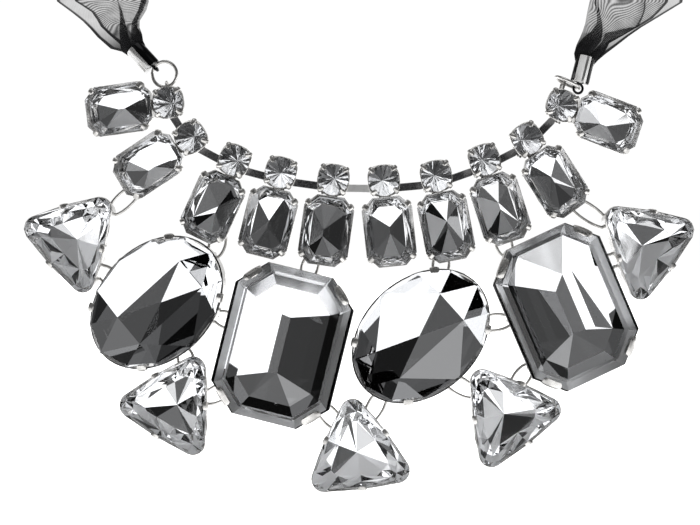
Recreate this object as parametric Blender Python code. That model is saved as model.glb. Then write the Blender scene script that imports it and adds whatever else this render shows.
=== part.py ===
# Bib necklace of foiled stones in claw settings, hung on two gathered ribbons.
# Metres, +Z up. The front of the bib faces -Y and the ribbons tie at the nape, at the origin.
import math

import bmesh
import bpy
from mathutils import Matrix, Vector

# Fits
SEAT_GAP = 0.0003
FUSE = 0.0002

# Form of the bib: a gentle curve round the chest
CHEST_RADIUS = 0.190
BIB_REACH = 0.114
NECK_DROP = 0.108
NECK_OFFSET = 0.0004

# Round stones along the neckline
ROUND_DIAMETER = 0.0080
ROUND_TABLE_INSET = 0.0018
ROUND_CROWN = 0.0013
ROUND_PAVILION = 0.0034
ROUND_LIFT = 0.0010

# Small octagon stones under them
SMALL_WIDTH = 0.0130
SMALL_LENGTH = 0.0180
SMALL_CORNER = 0.0030
SMALL_TABLE_INSET = 0.0021
SMALL_CROWN = 0.0013
SMALL_PAVILION = 0.0042

# Large oval stones
OVAL_WIDTH = 0.0300
OVAL_LENGTH = 0.0400
OVAL_TABLE_INSET = 0.0019
OVAL_CROWN = 0.0011
OVAL_PAVILION = 0.0060

# Large octagon stones
BIG_WIDTH = 0.0300
BIG_LENGTH = 0.0400
BIG_CORNER = 0.0067
BIG_TABLE_INSET = 0.0026
BIG_CROWN = 0.0014
BIG_PAVILION = 0.0064

# Trilliant stones: centre to tip, centre to side, and the tip's own radius
TRI_TIP = 0.0142
TRI_SIDE = 0.0092
TRI_CORNER = 0.0032
TRI_TABLE_INSET = 0.0034
TRI_CROWN = 0.0017
TRI_PAVILION = 0.0052

GIRDLE = 0.0005
CULET_LIFT = 0.0007

# Where the pavilion steps: shares of the stone's half width and of the pavilion's depth
BREAK_INSET = 0.45
BREAK_DEPTH = 0.56
CULET_INSET = 0.97

# Claw settings
WALL = 0.0006
WALL_INSET = 0.0002
WALL_LEAN = 0.0007
BASE_WIDTH = 0.0033
BASE_THICKNESS = 0.0008
CLAW_THICKNESS = 0.0006
CLAW_FOOT = 0.0012

# Staples, jump rings and hanging loops
STAPLE_WIRE = 0.0007
STAPLE_HALF = 0.0013
STAPLE_DROP = 0.0022
RING_WIRE = 0.0008
RING_DEPTH = 0.0010
RING_ACROSS = 0.0021
EYE_RADIUS = 0.00125
LONG_EYE = 0.0021

# Flat links between the neckline cups
LINK_WIDTH = 0.0018
LINK_THICKNESS = 0.0005
LINK_SIDE = 0.0014
LINK_HEAD = 0.0009

# End rings and crimps
END_RING_DIAMETER = 0.0075
END_RING_WIRE = 0.0009
CRIMP_DIAMETER = 0.0050
CRIMP_LENGTH = 0.0072
CRIMP_WALL = 0.0004
CRIMP_FLOOR = 0.0008

# Ribbons
RIBBON_WIDTH = 0.0245
RIBBON_WALL = 0.0011
RIBBON_FOLD = 0.0026
RIBBON_FOLDS = 3
RIBBON_TUCK = 0.0048
KNOT_WIDTH = 0.0130
KNOT_HEIGHT = 0.0105
KNOT_DEPTH = 0.0085

ROUND_SIDES = 12
OVAL_SIDES = 20
RING_SIDES = 10
END_RING_SIDES = 12
CRIMP_SIDES = 14
WIRE_SIDES = 5

# The neckline: gap from the cup before (metres), its heading and the way the drop hangs (degrees)
DROPS = (
    # number, gap,   heading, hang
    (1, 0.0000, 0, -173),
    (2, 0.0028, -57, -148),
    (3, 0.0048, -28, -115),
    (4, 0.0042, -15, -104),
    (5, 0.0054, -8, -98),
    (6, 0.0047, -1, -84),
    (7, 0.0053, 5, -79),
    (8, 0.0050, 19, -72),
    (9, 0.0043, 26, -56),
    (10, 0.0047, 44, -19),
)

# Every larger piece hangs off one placed before it: heading and gap to it, and its own turn
HANGING = (
    # name,         cut,         beside,       heading, gap,   turn
    ("oval_left", "oval", "drop_3", -120, -0.0002, -49),
    ("octagon_left", "big", "drop_5", -110, 0.0013, -14),
    ("oval_right", "oval", "drop_7", -103, 0.0011, -48),
    ("octagon_right", "big", "drop_8", -57, -0.0002, 24),
    ("trilliant_1", "tri", "drop_2", -136, 0.0043, -45),
    ("trilliant_2", "tri", "octagon_left", -151, -0.0003, -30),
    ("trilliant_3", "tri", "octagon_left", -56, 0.0007, 7),
    ("trilliant_4", "tri", "octagon_right", -118, 0.0022, 37),
    ("trilliant_5", "tri", "drop_9", -34, 0.0058, 51),
)

# Jump rings: the two settings and the bearing of the staple on each (degrees)
JUMP_RINGS = (
    # name,     first,      bearing, second,       bearing
    ("ring_1", "drop_3", -80, "oval_left", 41),
    ("ring_2", "drop_5", -119, "octagon_left", 73),
    ("ring_3", "drop_7", -93, "oval_right", 69),
    ("ring_4", "drop_8", -80, "octagon_right", 135),
    ("ring_5", "oval_left", -14, "octagon_left", 156),
    ("ring_6", "oval_right", 11, "octagon_right", -164),
)

# Hanging loops soldered on the trilliants, each held by a staple on its neighbour
HANGING_LOOPS = (
    # trilliant,    bearing, neighbour,    bearing
    ("trilliant_1", 40, "drop_2", -127),
    ("trilliant_1", -58, "oval_left", 160),
    ("trilliant_2", 10, "octagon_left", -142),
    ("trilliant_2", 73, "oval_left", -67),
    ("trilliant_3", 124, "octagon_left", -61),
    ("trilliant_3", 74, "oval_right", -122),
    ("trilliant_4", 144, "oval_right", -58),
    ("trilliant_4", 69, "octagon_right", -115),
    ("trilliant_5", 149, "drop_9", -40),
    ("trilliant_5", -152, "octagon_right", 44),
)

# End rings: cup, bearing and half length of the eye on it, heading from ring to crimp eye,
# whether the ring stands edge on, heading of the crimp's axis and its lean back (degrees)
ENDS = (
    # side, cup, eye, half length, crimp eye, edge_on, axis, lean
    ("left", 1, 107, EYE_RADIUS, 145, False, 134, 4),
    ("right", 10, 73, LONG_EYE, -27, True, 74, 4),
)

# Claws of each cut: bearings round the stone (degrees), width and reach over the crown
CLAWS = {
    # cut: (bearings, width, reach)
    "round": ((45, 135, 225, 315), 0.0010, 0.0008),
    "small": ((51, 129, 231, 309), 0.0021, 0.0011),
    "oval": ((53, 127, 233, 307), 0.0028, 0.0009),
    "big": ((54, 126, 234, 306), 0.0056, 0.0009),
    "tri": ((30, 150, 270), 0.0026, 0.0013),
}

# Ribbon route past each crimp: how far out it runs on either side, and its depth and height
RIBBON_ROUTE = (
    # left,  right,  y,       z
    (0.0655, 0.0725, -0.0985, -0.0615),
    (0.0705, 0.0765, -0.0830, -0.0460),
    (0.0700, 0.0735, -0.0590, -0.0285),
    (0.0590, 0.0605, -0.0330, -0.0130),
    (0.0400, 0.0405, -0.0110, -0.0035),
    (0.0200, 0.0200, 0.0020, 0.0000),
)

# Ribbon sections: share of the route, how far it has spread from the crimp's bore to its full
# width, share of the fold depth, and turn (degrees)
RIBBON_SECTIONS = (
    # share, spread, fold, turn
    (0.000, 0.00, 0.00, 0),
    (0.034, 0.00, 0.00, 0),
    (0.050, 0.15, 0.30, 0),
    (0.080, 0.45, 0.80, 0),
    (0.115, 0.82, 1.00, 2),
    (0.150, 1.00, 0.90, 4),
    (0.200, 1.00, 0.70, 6),
    (0.320, 0.92, 0.60, 12),
    (0.440, 0.88, 0.60, 18),
    (0.560, 0.84, 0.65, 26),
    (0.680, 0.80, 0.70, 38),
    (0.800, 0.70, 0.80, 52),
    (0.880, 0.50, 0.90, 62),
    (0.950, 0.22, 0.60, 68),
    (1.000, 0.10, 0.25, 70),
)
RIBBON_SUBSTEPS = 2
RIBBON_COLUMNS = 7

# The ribbon's bundle inside the crimp, as shares of the bore, and its thinner edges
PACKED_WIDTH = 0.84
PACKED_WALL = 0.60
EDGE_SHARE = 0.45


def octagon(width, length, corner, grow):
    half_w = width / 2 + grow
    half_l = length / 2 + grow
    cut = corner + grow * (2 - math.sqrt(2)) if grow > 0 else corner * half_w / (width / 2)
    return [
        (half_w, -half_l + cut), (half_w, half_l - cut),
        (half_w - cut, half_l), (-half_w + cut, half_l),
        (-half_w, half_l - cut), (-half_w, -half_l + cut),
        (-half_w + cut, -half_l), (half_w - cut, -half_l),
    ]


def ellipse(width, length, sides, grow):
    points = []
    for step in range(sides):
        angle = 2 * math.pi * step / sides
        points.append(((width / 2 + grow) * math.cos(angle), (length / 2 + grow) * math.sin(angle)))
    return points


def trilliant(grow, corner_steps=3):
    # Three tip arcs joined by three long side arcs that meet them smoothly; inwards it shrinks in proportion
    if grow < 0:
        share = 1 + grow / TRI_SIDE
        return [(x * share, y * share) for x, y in trilliant(0, corner_steps)]
    arm = TRI_TIP - TRI_CORNER
    flat = TRI_SIDE - TRI_CORNER
    back = (arm * arm - flat * flat) / (2 * flat - arm)
    points = []
    for third in range(3):
        tip = math.radians(90 + 120 * third)
        centre = Vector((math.cos(tip), math.sin(tip))) * arm
        ends = []
        for side in (tip - math.pi / 3, tip + math.pi / 3):
            side_centre = Vector((math.cos(side), math.sin(side))) * -back
            lean = centre - side_centre
            ends.append(math.atan2(lean.y, lean.x))
        if ends[1] < ends[0]:
            ends[1] += 2 * math.pi
        for step in range(corner_steps + 1):
            angle = ends[0] + (ends[1] - ends[0]) * step / corner_steps
            point = centre + Vector((math.cos(angle), math.sin(angle))) * (TRI_CORNER + grow)
            points.append((point.x, point.y))
        side = tip + math.pi / 3
        points.append(((TRI_SIDE + grow) * math.cos(side), (TRI_SIDE + grow) * math.sin(side)))
    return points


# Each cut: its outline, table inset, crown height and pavilion depth
CUTS = {
    "round": (
        lambda grow: ellipse(ROUND_DIAMETER, ROUND_DIAMETER, ROUND_SIDES, grow),
        ROUND_TABLE_INSET, ROUND_CROWN, ROUND_PAVILION, ROUND_DIAMETER / 2,
    ),
    "small": (
        lambda grow: octagon(SMALL_WIDTH, SMALL_LENGTH, SMALL_CORNER, grow),
        SMALL_TABLE_INSET, SMALL_CROWN, SMALL_PAVILION, SMALL_WIDTH / 2,
    ),
    "oval": (
        lambda grow: ellipse(OVAL_WIDTH, OVAL_LENGTH, OVAL_SIDES, grow),
        OVAL_TABLE_INSET, OVAL_CROWN, OVAL_PAVILION, OVAL_WIDTH / 2,
    ),
    "big": (
        lambda grow: octagon(BIG_WIDTH, BIG_LENGTH, BIG_CORNER, grow),
        BIG_TABLE_INSET, BIG_CROWN, BIG_PAVILION, BIG_WIDTH / 2,
    ),
    "tri": (
        lambda grow: trilliant(grow),
        TRI_TABLE_INSET, TRI_CROWN, TRI_PAVILION, TRI_SIDE,
    ),
}


def turned(point, degrees):
    angle = math.radians(degrees)
    return Vector((
        point[0] * math.cos(angle) - point[1] * math.sin(angle),
        point[0] * math.sin(angle) + point[1] * math.cos(angle),
    ))


def heading_vector(degrees):
    return Vector((math.cos(math.radians(degrees)), math.sin(math.radians(degrees))))


def reach_along(cut, turn, direction):
    # How far the stone's outline reaches from its centre along a direction
    outline = CUTS[cut][0](0)
    return max(turned(point, turn).dot(direction) for point in outline)


def rim_point(outline, bearing):
    # Where a ray from the centre crosses an outline, with the outward normal there
    ray = heading_vector(bearing)
    for index, first in enumerate(outline):
        a = Vector(first)
        b = Vector(outline[(index + 1) % len(outline)])
        edge = b - a
        cross = ray.x * edge.y - ray.y * edge.x
        if abs(cross) < 1e-12:
            continue
        along = (a.x * edge.y - a.y * edge.x) / cross
        share = (a.x * ray.y - a.y * ray.x) / cross
        if along > 0 and -1e-9 <= share <= 1 + 1e-9:
            return ray * along, Vector((edge.y, -edge.x)).normalized()
    raise ValueError("no rim at this bearing")


# Placing on the chest's curve
def chest_frame(along, height, turn=0):
    angle = along / CHEST_RADIUS
    place = Vector((
        CHEST_RADIUS * math.sin(angle),
        -BIB_REACH + CHEST_RADIUS * (1 - math.cos(angle)),
        height,
    ))
    side = Vector((math.cos(angle), math.sin(angle), 0))
    up = Vector((0, 0, 1))
    front = side.cross(up)
    basis = Matrix((side, up, front)).transposed().to_4x4()
    return Matrix.Translation(place) @ basis @ Matrix.Rotation(math.radians(turn), 4, "Z")


def lay_out():
    # Positions on the unrolled chest, from the neckline chain and then neighbour by neighbour
    places = {}
    spot = Vector((0, 0))
    chain = []
    for number, gap, heading, hang in DROPS:
        if number > 1:
            spot = spot + heading_vector(heading) * (ROUND_DIAMETER + gap)
        chain.append((number, spot.copy(), hang))
    middle = (chain[4][1] + chain[5][1]) / 2
    shift = Vector((NECK_OFFSET, -NECK_DROP)) - middle
    for number, spot, hang in chain:
        cup = spot + shift
        stone = cup + heading_vector(hang) * drop_pitch()
        places["cup_%d" % number] = ("round", cup, hang + 90)
        places["drop_%d" % number] = ("small", stone, hang + 90)
    for name, cut, beside, heading, gap, turn in HANGING:
        near_cut, near, near_turn = places[beside]
        away = heading_vector(heading)
        reach = reach_along(near_cut, near_turn, away) + reach_along(cut, turn, -away) + gap
        places[name] = (cut, near + away * reach, turn)
    return places


def drop_pitch():
    return ROUND_DIAMETER / 2 + SEAT_GAP + SMALL_LENGTH / 2


# Meshes
def body_of(bm):
    bmesh.ops.recalc_face_normals(bm, faces=bm.faces)
    mesh = bpy.data.meshes.new("piece")
    bm.to_mesh(mesh)
    bm.free()
    return mesh


def add_loops(bm, loops, closed=False):
    # Bridges loops of equal count; closed joins last to first, otherwise both ends are capped
    rows = [[bm.verts.new(point) for point in loop] for loop in loops]
    count = len(rows[0])
    spans = len(rows) if closed else len(rows) - 1
    for row in range(spans):
        low = rows[row]
        high = rows[(row + 1) % len(rows)]
        for index in range(count):
            after = (index + 1) % count
            bm.faces.new((low[index], low[after], high[after], high[index]))
    if not closed:
        bm.faces.new(list(reversed(rows[0])))
        bm.faces.new(rows[-1])


def at_height(outline, height):
    return [Vector((point[0], point[1], height)) for point in outline]


def add_box(bm, near, far, wide, thick):
    # A bar between two points: wide and thick are its half vectors
    loops = []
    for end in (near, far):
        loops.append([end - wide - thick, end + wide - thick, end + wide + thick, end - wide + thick])
    add_loops(bm, loops)


def add_wire(bm, path, binormal, radius, closed=False, sides=WIRE_SIDES):
    # A round wire along a flat path; binormal is the normal of the path's plane
    loops = []
    count = len(path)
    for index, point in enumerate(path):
        before = path[index - 1] if closed or index > 0 else point
        after = path[(index + 1) % count] if closed or index < count - 1 else point
        if point == before or point == after:
            along = (after - before).normalized()
            mitre = 1.0
        else:
            arrive = (point - before).normalized()
            along = (arrive + (after - point).normalized()).normalized()
            mitre = 1 / along.dot(arrive)
        out = binormal.cross(along).normalized() * mitre
        loop = []
        for step in range(sides):
            angle = 2 * math.pi * step / sides
            loop.append(point + (out * math.cos(angle) + binormal * math.sin(angle)) * radius)
        loops.append(loop)
    add_loops(bm, loops, closed)


def ring_path(centre, long_half, cross_half, sides):
    path = []
    for step in range(sides):
        angle = 2 * math.pi * step / sides
        path.append(centre + long_half * math.cos(angle) + cross_half * math.sin(angle))
    return path


def fused(meshes):
    # Solders several closed bodies into one
    holders = []
    for index, mesh in enumerate(meshes):
        holder = bpy.data.objects.new("solder_%d" % index, mesh)
        bpy.context.scene.collection.objects.link(holder)
        holders.append(holder)
    for other in holders[1:]:
        union = holders[0].modifiers.new("solder", "BOOLEAN")
        union.operation = "UNION"
        union.solver = "EXACT"
        union.object = other
    graph = bpy.context.evaluated_depsgraph_get()
    result = bpy.data.meshes.new_from_object(holders[0].evaluated_get(graph))
    for holder in holders:
        bpy.data.objects.remove(holder)
    bm = bmesh.new()
    bm.from_mesh(result)
    bmesh.ops.remove_doubles(bm, verts=bm.verts, dist=1e-6)
    bmesh.ops.dissolve_limit(bm, angle_limit=math.radians(0.5), verts=bm.verts, edges=bm.edges)
    return body_of(bm)


def material(name, colour, metallic, roughness):
    made = bpy.data.materials.new(name)
    made.use_nodes = True
    shader = made.node_tree.nodes["Principled BSDF"]
    shader.inputs["Base Color"].default_value = (*colour, 1)
    shader.inputs["Metallic"].default_value = metallic
    shader.inputs["Roughness"].default_value = roughness
    return made


def show(name, mesh, frame, look, smooth=False):
    colour, metallic, roughness = look
    mesh.name = name
    mesh.materials.clear()
    mesh.materials.append(material(name, colour, metallic, roughness))
    if smooth:
        mesh.shade_smooth()
        mesh.set_sharp_from_angle(angle=math.radians(40))
    piece = bpy.data.objects.new(name, mesh)
    bpy.context.scene.collection.objects.link(piece)
    piece.matrix_world = frame
    return piece


STONE_LOOK = ((0.80, 0.82, 0.84), 0.3, 0.05)
METAL_LOOK = ((0.72, 0.71, 0.69), 1.0, 0.2)
DARK_METAL_LOOK = ((0.35, 0.35, 0.35), 1.0, 0.3)
RIBBON_LOOK = ((0.02, 0.02, 0.02), 0.0, 0.6)


def girdle_height(cut):
    return CULET_LIFT + CUTS[cut][3]


def stone_mesh(cut, lift=0.0):
    # Table, crown, girdle and stepped pavilion, as the convex body round them
    outline, table_inset, crown, pavilion, half = CUTS[cut]
    base = girdle_height(cut) + lift
    levels = [
        (outline(-table_inset), base + GIRDLE + crown),
        (outline(0), base + GIRDLE),
        (outline(0), base),
        (outline(-half * CULET_INSET), base - pavilion),
    ]
    if cut in ("small", "big", "oval"):
        levels.append((outline(-half * BREAK_INSET), base - pavilion * BREAK_DEPTH))
    bm = bmesh.new()
    for points, height in levels:
        for point in points:
            bm.verts.new((point[0], point[1], height))
    hull = bmesh.ops.convex_hull(bm, input=bm.verts)
    loose = [part for part in hull["geom_interior"] if isinstance(part, bmesh.types.BMVert)]
    bmesh.ops.delete(bm, geom=loose, context="VERTS")
    bmesh.ops.dissolve_limit(bm, angle_limit=math.radians(1), verts=bm.verts, edges=bm.edges)
    return body_of(bm)


def wall_top(cut):
    # The wall ends under the pavilion, a seat gap below its surface
    half = CUTS[cut][4]
    slope = CUTS[cut][3] * BREAK_DEPTH / (half * BREAK_INSET)
    return girdle_height(cut) - slope * (WALL_INSET + WALL) - SEAT_GAP * math.sqrt(1 + slope * slope)


def collar_mesh(cut):
    # An open frame: flat base ring, leaning wall, and a seat that slopes in under the pavilion
    outline = CUTS[cut][0]
    top = wall_top(cut)
    foot = -WALL_INSET - WALL_LEAN
    profile = [
        (foot - BASE_WIDTH, 0),
        (foot, 0),
        (-WALL_INSET, top),
        (-WALL_INSET - WALL, top),
    ]
    bm = bmesh.new()
    add_loops(bm, [at_height(outline(grow), height) for grow, height in profile], closed=True)
    return body_of(bm)


def cup_mesh():
    # A small closed cup under a round stone
    outline = CUTS["round"][0]
    top = wall_top("round") + ROUND_LIFT
    foot = -WALL_INSET - WALL_LEAN
    rows = [
        (foot, 0),
        (-WALL_INSET, top),
        (-WALL_INSET - WALL, top),
        (-ROUND_DIAMETER / 2 + BASE_THICKNESS, BASE_THICKNESS),
    ]
    bm = bmesh.new()
    add_loops(bm, [at_height(outline(grow), height) for grow, height in rows])
    return body_of(bm)


def claws_mesh(cut, lift=0.0):
    # Claws rise from the wall past the girdle and bend down over the crown
    outline, table_inset, crown, _, _ = CUTS[cut]
    bearings, width, reach = CLAWS[cut]
    base = girdle_height(cut) + lift
    top = wall_top(cut) + lift
    rise = crown * reach / table_inset
    over = base + GIRDLE + rise + SEAT_GAP * math.sqrt(1 + (crown / table_inset) ** 2)
    outer = SEAT_GAP + CLAW_THICKNESS
    section = [
        (-WALL_INSET - WALL * 0.6, top - CLAW_FOOT),
        (outer, top - CLAW_FOOT * 0.4),
        (outer, base + GIRDLE + SEAT_GAP),
        (-reach, over),
        (SEAT_GAP, base + GIRDLE + SEAT_GAP * 0.5),
        (SEAT_GAP, top),
    ]
    bm = bmesh.new()
    for bearing in bearings:
        point, normal = rim_point(outline(0), bearing)
        side = Vector((-normal.y, normal.x))
        loops = []
        for way in (-1, 1):
            shift = side * (way * width / 2)
            loops.append([
                Vector((point.x + normal.x * out + shift.x, point.y + normal.y * out + shift.y, height))
                for out, height in section
            ])
        add_loops(bm, loops)
    return body_of(bm)


def base_point(cut, bearing):
    # The middle of the base ring at a bearing
    middle = -WALL_INSET - WALL_LEAN - BASE_WIDTH / 2
    return rim_point(CUTS[cut][0](middle), bearing)[0]


def staple_path(point, direction):
    # A bent wire under the base: the legs go in, the bow holds a ring
    along = Vector((direction.x, direction.y, 0)).normalized()
    down = Vector((0, 0, -1))
    root = Vector((point.x, point.y, 0))
    return [
        root - along * STAPLE_HALF - down * FUSE * 2,
        root - along * STAPLE_HALF + down * STAPLE_DROP,
        root + along * STAPLE_HALF + down * STAPLE_DROP,
        root + along * STAPLE_HALF - down * FUSE * 2,
    ], along.cross(down)


class Setting:
    # One metal piece in the making: its frame and the bodies to be soldered to it
    def __init__(self, frame):
        self.frame = frame
        self.parts = []

    def local(self, world):
        return self.frame.inverted() @ world

    def staple(self, point, toward):
        path, binormal = staple_path(point, self.local(toward) - Vector((point.x, point.y, 0)))
        bm = bmesh.new()
        add_wire(bm, path, binormal, STAPLE_WIRE / 2)
        self.parts.append(body_of(bm))

    def ring_spot(self, point, depth=-RING_DEPTH):
        return self.frame @ Vector((point.x, point.y, depth))


def bearing_point(places, name, bearing):
    # The base point of a piece at a bearing measured on the unrolled chest
    cut, _, turn = places[name]
    return base_point(cut, bearing - turn)


def build_settings(places):
    settings = {}
    for name, (cut, spot, turn) in places.items():
        if name.startswith("drop_"):
            continue
        settings[name] = Setting(chest_frame(spot.x, spot.y, turn))
    for number, _, _, _ in DROPS:
        cup = settings["cup_%d" % number]
        settings["drop_%d" % number] = cup
    return settings


def drop_shift():
    # A drop's octagon sits below its cup, in the cup's own frame
    return Matrix.Translation((0, -drop_pitch(), 0))


def bridge_mesh():
    # A short bar that joins a cup's base to the base ring of its octagon
    foot = WALL_INSET + WALL_LEAN + BASE_THICKNESS
    near = Vector((0, foot - ROUND_DIAMETER / 2, BASE_THICKNESS / 2))
    far = Vector((0, -drop_pitch() + SMALL_LENGTH / 2 - foot, BASE_THICKNESS / 2))
    wide = Vector((SMALL_CORNER / 2, 0, 0))
    thick = Vector((0, 0, (BASE_THICKNESS - FUSE) / 2))
    bm = bmesh.new()
    add_box(bm, near, far, wide, thick)
    return body_of(bm)


def moved(mesh, matrix):
    mesh.transform(matrix)
    return mesh


def connect(places, settings, name_a, bearing_a, name_b, bearing_b, soldered_a=False):
    # Staples on both pieces (or only on the second) and the wire loop between them
    ends = []
    for name, bearing in ((name_a, bearing_a), (name_b, bearing_b)):
        point = bearing_point(places, name, bearing)
        if name.startswith("drop_"):
            point = Vector((point.x, point.y - drop_pitch()))
        ends.append(point)
    first = settings[name_a]
    second = settings[name_b]
    spot_a = first.ring_spot(ends[0], FUSE if soldered_a else -RING_DEPTH)
    spot_b = second.ring_spot(ends[1])
    if not soldered_a:
        first.staple(ends[0], spot_b)
    second.staple(ends[1], spot_a)
    span = spot_b - spot_a
    ahead = Vector((0, 0, 1))
    front = (first.frame.to_3x3() @ ahead + second.frame.to_3x3() @ ahead).normalized()
    across = front.cross(span).normalized()
    normal = span.cross(across).normalized()
    half = span / 2
    width = min(half.length, RING_ACROSS)
    path = ring_path(spot_a + half, half, across * width, RING_SIDES)
    bm = bmesh.new()
    add_wire(bm, path, -normal, RING_WIRE / 2, closed=True)
    return bm


def add_link(settings, number):
    # A flat strip soldered behind one cup, its headed end held behind the next
    near = settings["cup_%d" % number]
    far = settings["cup_%d" % (number + 1)]
    along = (far.frame.translation - near.frame.translation).normalized()
    down = Vector((0, 0, -1)) - along * Vector((0, 0, -1)).dot(along)
    shift = down.normalized() * LINK_SIDE
    front_a = near.frame.to_3x3() @ Vector((0, 0, 1))
    front_b = far.frame.to_3x3() @ Vector((0, 0, 1))
    inset = ROUND_DIAMETER / 4
    start = near.frame.translation + along * inset + shift + front_a * (FUSE - LINK_THICKNESS / 2)
    sink = SEAT_GAP + LINK_THICKNESS / 2
    end = far.frame.translation - along * inset + shift - front_b * sink
    run = (end - start).normalized()
    front = (front_a + front_b).normalized()
    wide = run.cross(front).normalized()
    thick = wide.cross(run).normalized() * (LINK_THICKNESS / 2)
    bm = bmesh.new()
    add_box(bm, start, end, wide * LINK_WIDTH / 2, thick)
    bm.transform(near.frame.inverted())
    near.parts.append(body_of(bm))
    bm = bmesh.new()
    head = end + run * (LINK_HEAD - FUSE)
    add_box(bm, end - run * FUSE, head, wide * (LINK_WIDTH / 2 + SEAT_GAP * 2), thick * 1.1)
    bm.transform(near.frame.inverted())
    near.parts.append(body_of(bm))
    keep = end - run * (SEAT_GAP + STAPLE_WIRE / 2 + FUSE)
    half = LINK_WIDTH / 2 + SEAT_GAP + STAPLE_WIRE / 2
    deep = sink + LINK_THICKNESS / 2 + SEAT_GAP + STAPLE_WIRE / 2
    top = keep + front_b * (sink + FUSE)
    low = keep - front_b * (deep - sink)
    path = [top - wide * half, low - wide * half, low + wide * half, top + wide * half]
    bm = bmesh.new()
    add_wire(bm, path, run, STAPLE_WIRE / 2)
    bm.transform(far.frame.inverted())
    far.parts.append(body_of(bm))


def side_eye(setting, bearing, turn, half):
    # An eye on a cup's outer wall, standing in the plane of the bearing and the depth
    out = heading_vector(bearing - turn)
    out = Vector((out.x, out.y, 0))
    foot = ROUND_DIAMETER / 2 - WALL_INSET - WALL_LEAN
    centre = out * (foot + half + STAPLE_WIRE / 2 - FUSE) + Vector((0, 0, STAPLE_WIRE))
    up = Vector((0, 0, 1))
    bm = bmesh.new()
    add_wire(bm, ring_path(centre, out * half, up * EYE_RADIUS, RING_SIDES), out.cross(up),
             STAPLE_WIRE / 2, closed=True)
    setting.parts.append(body_of(bm))
    return setting.frame @ (centre + out * (half - EYE_RADIUS))


def build_end(places, settings, row):
    side, number, eye, half, toward, edge_on, axis, lean = row
    name = "cup_%d" % number
    cup = settings[name]
    turn = places[name][2]
    hook = side_eye(cup, eye, turn, half)
    flat = chest_frame(places[name][1].x, places[name][1].y)
    basis = flat.to_3x3()
    front = basis @ Vector((0, 0, 1))
    radius = (END_RING_DIAMETER - END_RING_WIRE) / 2

    def world(degrees):
        vector = heading_vector(degrees)
        return basis @ Vector((vector.x, vector.y, 0))

    if edge_on:
        long_half = world(toward)
        centre = hook + front * radius
        eye_centre = centre + long_half * radius
        ring = ring_path(centre, long_half * radius, front * radius, END_RING_SIDES)
        ring_normal = long_half.cross(front)
        eye_plane = front
    else:
        centre = hook + world(eye) * radius
        eye_centre = centre + world(toward) * radius
        wide, tall = basis @ Vector((radius, 0, 0)), basis @ Vector((0, radius, 0))
        ring = ring_path(centre, wide, tall, END_RING_SIDES)
        ring_normal = front
        eye_plane = world(axis).cross(front).normalized()
    bm = bmesh.new()
    add_wire(bm, ring, ring_normal, END_RING_WIRE / 2, closed=True)
    show("end_ring_" + side, body_of(bm), Matrix.Identity(4), METAL_LOOK, smooth=True)

    run = (world(axis) + front * math.tan(math.radians(-lean))).normalized()
    cross = run.cross(front).normalized()
    depth = cross.cross(run).normalized()
    foot = eye_centre + run * (EYE_RADIUS + STAPLE_WIRE / 2 - FUSE)
    inner = CRIMP_DIAMETER / 2 - CRIMP_WALL
    rows = [
        (CRIMP_DIAMETER / 2, 0),
        (CRIMP_DIAMETER / 2, CRIMP_LENGTH),
        (inner, CRIMP_LENGTH),
        (inner, CRIMP_FLOOR),
    ]
    bm = bmesh.new()
    add_loops(bm, [
        ring_path(foot + run * height, cross * wide, depth * wide, CRIMP_SIDES) for wide, height in rows
    ])
    tube = body_of(bm)
    bm = bmesh.new()
    eye_long = run * EYE_RADIUS
    eye_cross = eye_plane.cross(run).normalized() * EYE_RADIUS
    eye_normal = eye_long.cross(eye_cross).normalized()
    add_wire(bm, ring_path(eye_centre, eye_long, eye_cross, RING_SIDES), eye_normal, STAPLE_WIRE / 2, closed=True)
    show("crimp_" + side, fused([tube, body_of(bm)]), Matrix.Identity(4), METAL_LOOK, smooth=True)
    return foot, run, cross


def smooth_route(points, shares):
    # Points at shares of the length of a Catmull-Rom curve through the route
    padded = [points[0] * 2 - points[1]] + points + [points[-1] * 2 - points[-2]]
    fine = []
    for index in range(1, len(padded) - 2):
        a, b, c, d = padded[index - 1:index + 3]
        for step in range(20):
            t = step / 20
            fine.append(0.5 * ((2 * b) + (c - a) * t + (2 * a - 5 * b + 4 * c - d) * t * t
                               + (3 * b - a - 3 * c + d) * t ** 3))
    fine.append(points[-1])
    lengths = [0.0]
    for index in range(1, len(fine)):
        lengths.append(lengths[-1] + (fine[index] - fine[index - 1]).length)
    spots = []
    at = 0
    for share in shares:
        target = lengths[-1] * share
        while at < len(fine) - 2 and lengths[at + 1] < target:
            at += 1
        part = (target - lengths[at]) / (lengths[at + 1] - lengths[at])
        spots.append(fine[at].lerp(fine[at + 1], part))
    return spots


def ribbon_rows():
    # The section table with evenly mixed rows between its own
    rows = []
    for low, high in zip(RIBBON_SECTIONS, RIBBON_SECTIONS[1:]):
        for step in range(RIBBON_SUBSTEPS):
            mix = step / RIBBON_SUBSTEPS
            rows.append([a + (b - a) * mix for a, b in zip(low, high)])
    rows.append(list(RIBBON_SECTIONS[-1]))
    return rows


def ribbon_loop(point, wide, thick, half, wall, wave):
    # A pleated strip in section: a wave with a thin edge on each side
    top = []
    low = []
    for column in range(RIBBON_COLUMNS):
        u = column / (RIBBON_COLUMNS - 1)
        edge = EDGE_SHARE if column in (0, RIBBON_COLUMNS - 1) else 1.0
        place = point + wide * (half * (2 * u - 1)) + thick * (wave * math.sin(math.pi * RIBBON_FOLDS * u))
        top.append(place + thick * (wall * edge))
        low.append(place - thick * (wall * edge))
    return top + list(reversed(low))


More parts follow.
